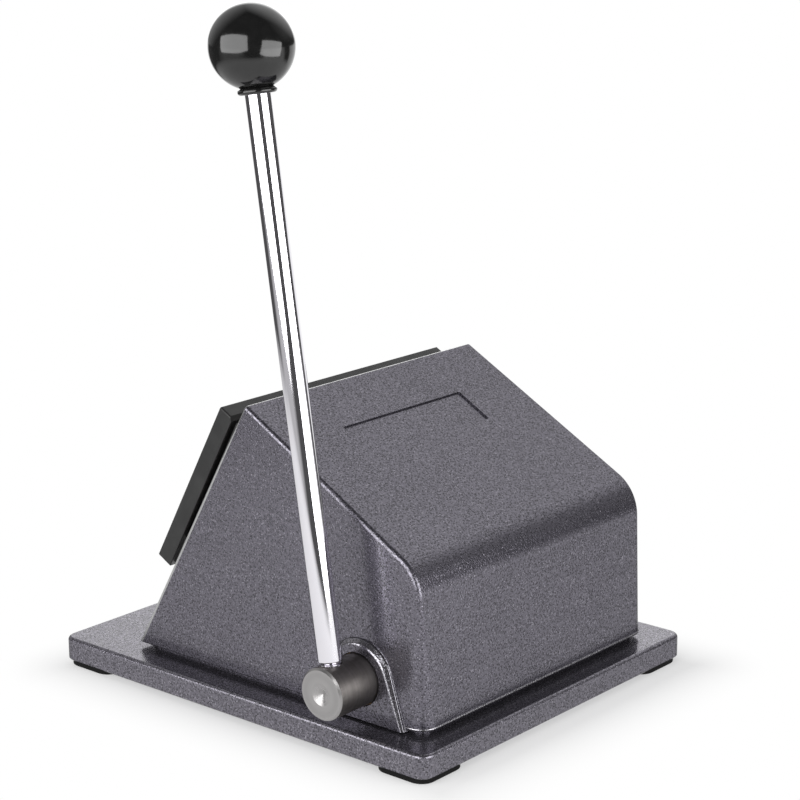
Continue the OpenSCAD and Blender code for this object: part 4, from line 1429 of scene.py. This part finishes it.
@dataclass(frozen=True)
class Lever:
    """The lever: cross shaft, chromed rod with its thread, and ball knob."""

    length: float = 303.3
    far_end_x: float = -84.386
    journal_r: float = 10.0
    journal_bevel: float = 0.8
    step_x: float = 64.886
    ring_x: float = 67.886
    ring_t: float = 1.5
    groove_r: float = 12.0
    shaft_bevel: float = 1.0
    centre_r: float = 5.6
    centre_depth: float = 1.8
    centre_edge: float = 0.2
    bright_from: float = 0.3
    stud_hole_r: float = 5.05
    stud_hole_low: float = -8.0
    stud_hole_lip: float = 1.2
    rod_r: float = 6.0
    rod_bevel: float = 1.0
    neck: float = 0.8
    core_r: float = 4.45
    stud_r: float = 5.0
    stud_low: float = -7.0
    top_stud: float = 21.0
    thread_low: float = 6.0
    thread_pitch: float = 1.5
    thread_ridge: float = 0.55
    thread_sides: int = 4
    ball_r: float = 20.0
    collar_r: float = 9.2
    collar_reach: float = 21.6
    bead_r: float = 1.45
    groove_bottom_r: float = 8.2
    insert_r: float = 7.52
    insert_len: float = 22.0
    ball_steps: int = 48

    def build(self, tree: CoilTree) -> None:
        """Makes the lever's pieces.

        Args:
            tree: What winds the thread.
        """
        self._shaft()
        self._rod()
        self._thread(tree)
        self._knob()

    def _shaft(self) -> None:
        """Makes the cross shaft with its turning centre and the hole for the rod."""
        r, end, far, groove = LAYOUT.shaft_r, LAYOUT.shaft_end_x, self.far_end_x, self.ring_x + self.ring_t
        soft = self.centre_depth * self.centre_edge / self.centre_r
        profile = [(0, far), (self.journal_r - self.journal_bevel, far)]
        profile += [(self.journal_r, far + self.journal_bevel), (self.journal_r, self.step_x)]
        profile += [(r, self.step_x), (r, self.ring_x), (self.groove_r, self.ring_x), (self.groove_r, groove)]
        profile += [(r, groove), (r, end - self.shaft_bevel), (r - self.shaft_bevel, end)]
        profile += [(self.centre_r + self.centre_edge, end), (self.centre_r - self.centre_edge, end - soft)]
        profile += [(self.centre_edge, end - self.centre_depth + soft), (0, end - self.centre_depth)]
        bar = Form.lathe(profile).placed(LAYOUT.on_shaft())
        lip, hole_r, low = self.stud_hole_lip, self.stud_hole_r, self.stud_hole_low
        hole = [(0, low), (hole_r, low), (hole_r, r - lip), (hole_r + 2 * lip, r + lip), (0, r + lip)]
        shaft = bar.cut(Form.lathe(hole).placed(LAYOUT.on_lever()))

        def choose(middle: Vector, normal: Vector) -> Look:
            """Returns the finish of the bright end face or of the dark rest."""
            dark = normal.x < self.bright_from or middle.x < end - self.centre_depth
            return Look.TURNED if dark else Look.SHAFT

        role = Role("turned_shaft", "lever", "dark_steel", ("drive_shaft",))
        role.dress(shaft, Look.SHAFT, Look.TURNED, choose=choose)

    def _rod(self) -> None:
        """Makes the chromed rod."""
        low, top, bevel = LAYOUT.shaft_r + self.neck, self.length - self.collar_reach, self.rod_bevel
        flat, end = self.rod_r - bevel, top + self.top_stud
        profile = [(0, self.stud_low), (self.core_r, self.stud_low), (self.core_r, low), (flat, low)]
        profile += [*arc(bevel, -90, 0, (flat, low + bevel)), (self.rod_r, top)]
        profile += [(self.stud_r, top), (self.stud_r, end), (0, end)]
        rod = Form.lathe(profile).placed(LAYOUT.on_lever())
        Role("chromed_rod", "lever", "chrome", ("lever_rod",)).dress(rod, Look.CHROME)

    def _thread(self, tree: CoilTree) -> None:
        """Makes the ridge of the thread on the rod's low end.

        Args:
            tree: What winds it.
        """
        height = LAYOUT.shaft_r + self.neck + self.rod_bevel / 2 - self.thread_low
        coil = Coil(self.core_r, height / self.thread_pitch, height, self.thread_ridge, self.thread_sides)
        mesh = tree.wind(coil, Look.CHROME, LAYOUT.on_lever() @ shift(z=self.thread_low))
        Role("rod_thread", "lever", "chrome").show(mesh)

    def _knob(self) -> None:
        """Makes the ball knob with its collar."""
        low, top = -self.collar_reach, self.insert_len - self.collar_reach
        start = -math.degrees(math.acos(self.groove_bottom_r / self.ball_r))
        profile = [(0, top), (self.insert_r, top), (self.insert_r, low)]
        profile += arc(self.bead_r, -90, 90, (self.collar_r - self.bead_r, low + self.bead_r), 2 * ARC_STEPS)
        profile += arc(self.ball_r, start, 90, (0, 0), self.ball_steps)
        knob = Form.lathe(profile).placed(LAYOUT.on_lever() @ shift(z=self.length))
        Role("ball_knob", "lever", "phenolic", ("knob",)).dress(knob, Look.RESIN)


@dataclass(frozen=True)
class ReturnSprings:
    """The two springs that push the crosshead back."""

    radius: float = 8.2
    wire_r: float = 0.9
    turns: float = 5.5
    low_t: float = -29.6
    high_t: float = -10.2
    sides: int = 12

    def build(self, tree: CoilTree) -> None:
        """Makes both springs.

        Args:
            tree: What winds them.
        """
        length = self.high_t - self.low_t
        whole = length + 2 * self.wire_r
        coil = Coil(self.radius, self.turns, length, self.wire_r, self.sides)
        for x, name in ((-LAYOUT.post_x, "left"), (LAYOUT.post_x, "right")):
            mesh = tree.wind(coil, Look.GROUND, LAYOUT.on_axis() @ shift(x, 0, self.low_t))
            spring = Role(f"coil_{name}", "frame", "ground_steel", (f"return_spring_{name}",)).show(mesh)
            fixed = LAYOUT.on_axis() @ Vector((x, 0, self.high_t + self.wire_r))
            keep = (whole - LAYOUT.stroke) / whole
            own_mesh(spring)


@dataclass(frozen=True)
class Fasteners:
    """The sets of socket screws."""

    die_reach: float = 17.8
    foot_reach: float = 7.2
    base_reach: float = 26.7
    punch_ring: Span = (20.0, 0.0)
    punch_seat: float = -40.8
    punch_reach: float = 21.0
    ram_ring: Span = (27.0, 45.0)
    ram_seat: float = -54.8
    ram_reach: float = 19.0

    def sets(self) -> list[ScrewSet]:
        """Lists every set.

        Returns:
            The sets.
        """
        desk, axis = Matrix.Identity(4), LAYOUT.on_axis()
        x, y = LAYOUT.foot_spot
        feet, punches, rams = grid(x, (-y, y)), self._ring(*self.punch_ring), self._ring(*self.ram_ring)
        die_seat = LAYOUT.die_rear + LAYOUT.die_t - BOLT.head_h
        base_seat = LAYOUT.foot_h + BOLT.head_h
        die = Role("die_cap_screws", "frame", "dark_steel", ("die_screws",))
        foot = Role("foot_cap_screws", "frame", "ground_steel", ("foot_screws",))
        base = Role("base_cap_screws", "frame", "ground_steel", ("housing_bolts",))
        punch = Role("punch_cap_screws", "ram", "dark_steel", ("punch_screws",))
        ram = Role("ram_cap_screws", "ram", "dark_steel", ("ram_screws",))
        return [
            ScrewSet(die, Look.DARK, BOLT, LAYOUT.die_screws, die_seat, self.die_reach, axis, 1),
            ScrewSet(foot, Look.GROUND, FOOT_SCREW, feet, LAYOUT.foot_seat, self.foot_reach, desk),
            ScrewSet(base, Look.GROUND, BOLT, LAYOUT.bolts(), base_seat, self.base_reach, desk),
            ScrewSet(punch, Look.DARK, BOLT, punches, self.punch_seat, self.punch_reach, axis),
            ScrewSet(ram, Look.DARK, BOLT, rams, self.ram_seat, self.ram_reach, axis),
        ]

    @staticmethod
    def _ring(r: float, first: float) -> Spots:
        """Returns four spots on a circle, the first at an angle."""
        turns = [math.radians(first + quarter * 90) for quarter in range(4)]
        return tuple((r * math.cos(a), r * math.sin(a)) for a in turns)

    def build(self, tree: ScrewTree) -> None:
        """Makes every set."""
        for row in self.sets():
            row.build(tree)


@dataclass(frozen=True)
class Workings:
    """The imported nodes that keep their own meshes, and their finishes."""

    bronze: tuple[str, ...] = (
        "bush_lever_side", "bush_far_side", "thrust_washer", "crosshead_bush_left", "crosshead_bush_right",
    )
    black: tuple[str, ...] = ("guide_plate", "slot_fence", "slot_spacers")
    ground: tuple[str, ...] = (
        "guide_plate_screws", "dowel_pins", "guide_post_left", "guide_post_right", "post_washers",
        "post_nuts", "eccentric", "eccentric_key", "ram_pad",
    )
    dark: tuple[str, ...] = ("retaining_ring", "eccentric_set_screw", "crosshead", "ram", "knob_insert")

    def build(self, nodes: Mapping[str, bpy.types.Object]) -> None:
        """Gives each node its finish.

        Args:
            nodes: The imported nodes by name.
        """
        looks = {
            Look.BRONZE: self.bronze, Look.BLACK: self.black, Look.GROUND: self.ground, Look.DARK: self.dark,
        }
        for look, names in looks.items():
            for name in names:
                for slot in nodes[name].material_slots:
                    slot.material = PAINTBOX.material(look)
                LOG.info("node %s in %s", name, look.name.lower())


@dataclass(frozen=True)
class Softbox:
    """A large soft lamp. Its turn to the right and its rise are seen from the aim, towards the camera."""

    name: str
    turn: float
    rise: float
    away: float
    width: float
    height: float
    radiance: float


@dataclass(frozen=True)
class Card:
    """A soft pale patch of the room, by its turn to the right of the camera and its rise above the floor."""

    turn: float
    rise: float
    span: Span
    level: float


@dataclass(frozen=True)
class Studio:
    """Camera, floor, backdrop and lamps, in metres."""

    azimuth: float = 130.584
    elevation: float = 14.608
    roll: float = -0.308
    distance: float = 1.1673
    target: Triple = (-0.009875, 0.011527, 0.14419)
    lens: float = 101.4
    sensor: float = 36.0
    floor_size: float = 12.0
    floor_drop: float = 0.0003
    floor_white: float = 0.82
    shadow_box: Triple = (0.1055, 0.1255, 0.0)
    shadow_shift: Triple = (0.0, 0.008, 0.0)
    shadow_reach: float = 0.042
    shadow_depth: float = 0.6
    mirror: float = 0.5
    table_shift: float = -0.1
    table_edge: Span = (0.5, 0.8)
    dark_room: float = 0.08
    low_cards: tuple[Card, ...] = (
        Card(-52, 0, (0.78, 0.95), 0.5),
        Card(62, 0, (0.78, 0.88), 0.9),
        Card(165, 0, (0.66, 0.76), 1.0),
    )
    high_cards: tuple[Card, ...] = (
        Card(178, 13, (0.88, 0.98), 2.4),
        Card(149, 42, (0.75, 0.97), 1.08),
        Card(115, 34, (0.85, 0.98), 0.3),
        Card(-142, 32, (0.72, 0.97), 0.6),
    )
    ambient: float = 0.4
    aim: Triple = (0.11, 0.027, 0.3366)
    lamps: tuple[Softbox, ...] = (
        Softbox("softbox_left", -46, -1.85, 1.5, 2.43, 1.29, 3.8),
        Softbox("softbox_right", 59, -12.2, 0.9, 1.0, 0.65, 3.8),
    )

    @property
    def facing(self) -> Matrix:
        """Returns the camera's turn: X to its right, Y up and Z from the object towards it."""
        return turn(self.azimuth, "Z") @ turn(90 - self.elevation, "X") @ turn(self.roll, "Z")

    def build(self) -> None:
        """Makes the studio."""
        self._camera()
        self._floor()
        self._world()
        for lamp in self.lamps:
            self._lamp(lamp)
        bpy.context.scene.view_settings.view_transform = "Standard"

    def _camera(self) -> None:
        """Makes the camera at the photograph's viewing angle."""
        data = bpy.data.cameras.new("camera")
        data.lens, data.sensor_width = self.lens, self.sensor
        camera = shown("camera", data)
        camera.matrix_world = shift(*self.target) @ self.facing @ shift(z=self.distance)
        bpy.context.scene.camera = camera

    @staticmethod
    def _seen(book: NodeBook) -> Term:
        """Returns 1 for what the camera sees, also through clear things."""
        path = book.add("ShaderNodeLightPath", output="Is Camera Ray")
        return path.larger(book.add("ShaderNodeLightPath", output="Is Transmission Ray"))

    def _level(self, to_right: float, rise: float = 0.0) -> Vector:
        """Finds a direction.

        Args:
            to_right: The direction's turn to the right of the camera.
            rise: Its rise above the floor.

        Returns:
            The direction.
        """
        back = self.facing.to_3x3() @ Vector((0, 0, 1))
        level = Vector((back.x, back.y, 0)).normalized()
        level.rotate(Matrix.Rotation(math.radians(to_right), 3, "Z"))
        return level * math.cos(math.radians(rise)) + Vector((0, 0, math.sin(math.radians(rise))))

    def _room(self, book: NodeBook, way: Term, cards: Iterable[Card]) -> Term | float:
        """Finds how bright the room is in a direction.

        Args:
            book: Where the nodes go.
            way: The direction.
            cards: The room's pale patches.

        Returns:
            The brightness.
        """
        room: Term | float = self.dark_room
        for card in cards:
            middle = tuple(self._level(card.turn, card.rise))
            ahead = book.vector("DOT_PRODUCT", way, middle, "Value")
            room = book.stretch(ahead, card.span, (self.dark_room, card.level)).larger(room)
        return room

    def _floor(self) -> None:
        """Makes the white floor, which keeps a faint shadow and ends in a dark room for bright metal."""
        half = self.floor_size / 2
        mesh = bpy.data.meshes.new("floor")
        corners = [(-half, -half), (half, -half), (half, half), (-half, half)]
        mesh.from_pydata([(x, y, -self.floor_drop) for x, y in corners], [], [(0, 1, 2, 3)])
        material = bpy.data.materials.new("floor_white")
        mesh.materials.append(material)
        shown("floor", mesh)
        book = NodeBook.of(material)
        seen, place = self._seen(book), book.place()
        glossy = book.add("ShaderNodeLightPath", output="Is Glossy Ray")
        centred = book.vector("ABSOLUTE", book.vector("SUBTRACT", place, self.shadow_shift))
        outside = book.length(book.vector("MAXIMUM", book.vector("SUBTRACT", centred, self.shadow_box)))
        dim = 1 - book.stretch(outside, (0, self.shadow_reach))
        near = 1 - dim * dim * self.shadow_depth
        moved = book.vector("ADD", place, tuple(self._level(0) * self.table_shift))
        beyond = book.stretch(book.length(moved), self.table_edge)
        share = seen * near + glossy * (beyond * (1 - self.mirror) + self.mirror)
        room = self._room(book, book.vector("NORMALIZE", place), self.low_cards)
        colour = book.mix(glossy * beyond, grey(1.0), room)
        plain = book.add("ShaderNodeBsdfDiffuse", {"Color": grey(self.floor_white)})
        glow = book.add("ShaderNodeEmission", {"Color": colour, "Strength": 1.0})
        blend = book.add("ShaderNodeMixShader", {0: share, 1: plain, 2: glow})
        book.add("ShaderNodeOutputMaterial", {"Surface": blend})

    def _world(self) -> None:
        """Makes the white backdrop for the camera, and the room that bright metal shows."""
        world = bpy.data.worlds.new("backdrop")
        bpy.context.scene.world = world
        book = NodeBook.of(world)
        glossy = book.add("ShaderNodeLightPath", output="Is Glossy Ray")
        room = self._room(book, book.add("ShaderNodeTexCoord", output="Generated"), self.high_cards)
        colour = book.mix(self._seen(book), book.mix(glossy, grey(self.ambient), room), grey(1.0))
        backdrop = book.add("ShaderNodeBackground", {"Color": colour, "Strength": 1.0})
        book.add("ShaderNodeOutputWorld", {"Surface": backdrop})

    def _lamp(self, lamp: Softbox) -> None:
        """Makes one softbox, level in the camera's view.

        Args:
            lamp: The softbox.
        """
        data = bpy.data.lights.new(lamp.name, "AREA")
        data.shape, data.size, data.size_y = "RECTANGLE", lamp.width, lamp.height
        data.energy = lamp.radiance * math.pi * lamp.width * lamp.height
        holder = shown(lamp.name, data)
        holder.visible_camera = False
        way = self.facing @ turn(lamp.turn, "Y") @ turn(-lamp.rise, "X")
        holder.matrix_world = shift(*self.aim) @ way @ shift(z=lamp.away)


def main() -> None:
    """Builds the sub-assemblies in order, then the studio."""
    logging.basicConfig(level=logging.INFO, format="%(message)s")
    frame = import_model()
    coils, screws = CoilTree(), ScrewTree()
    BasePlate().build()
    Housing().build()
    DieSet().build()
    Lever().build(coils)
    ReturnSprings().build(coils)
    Fasteners().build(screws)
    Workings().build(frame["nodes"])
    Studio().build()


if __name__ == "__main__":
    main()
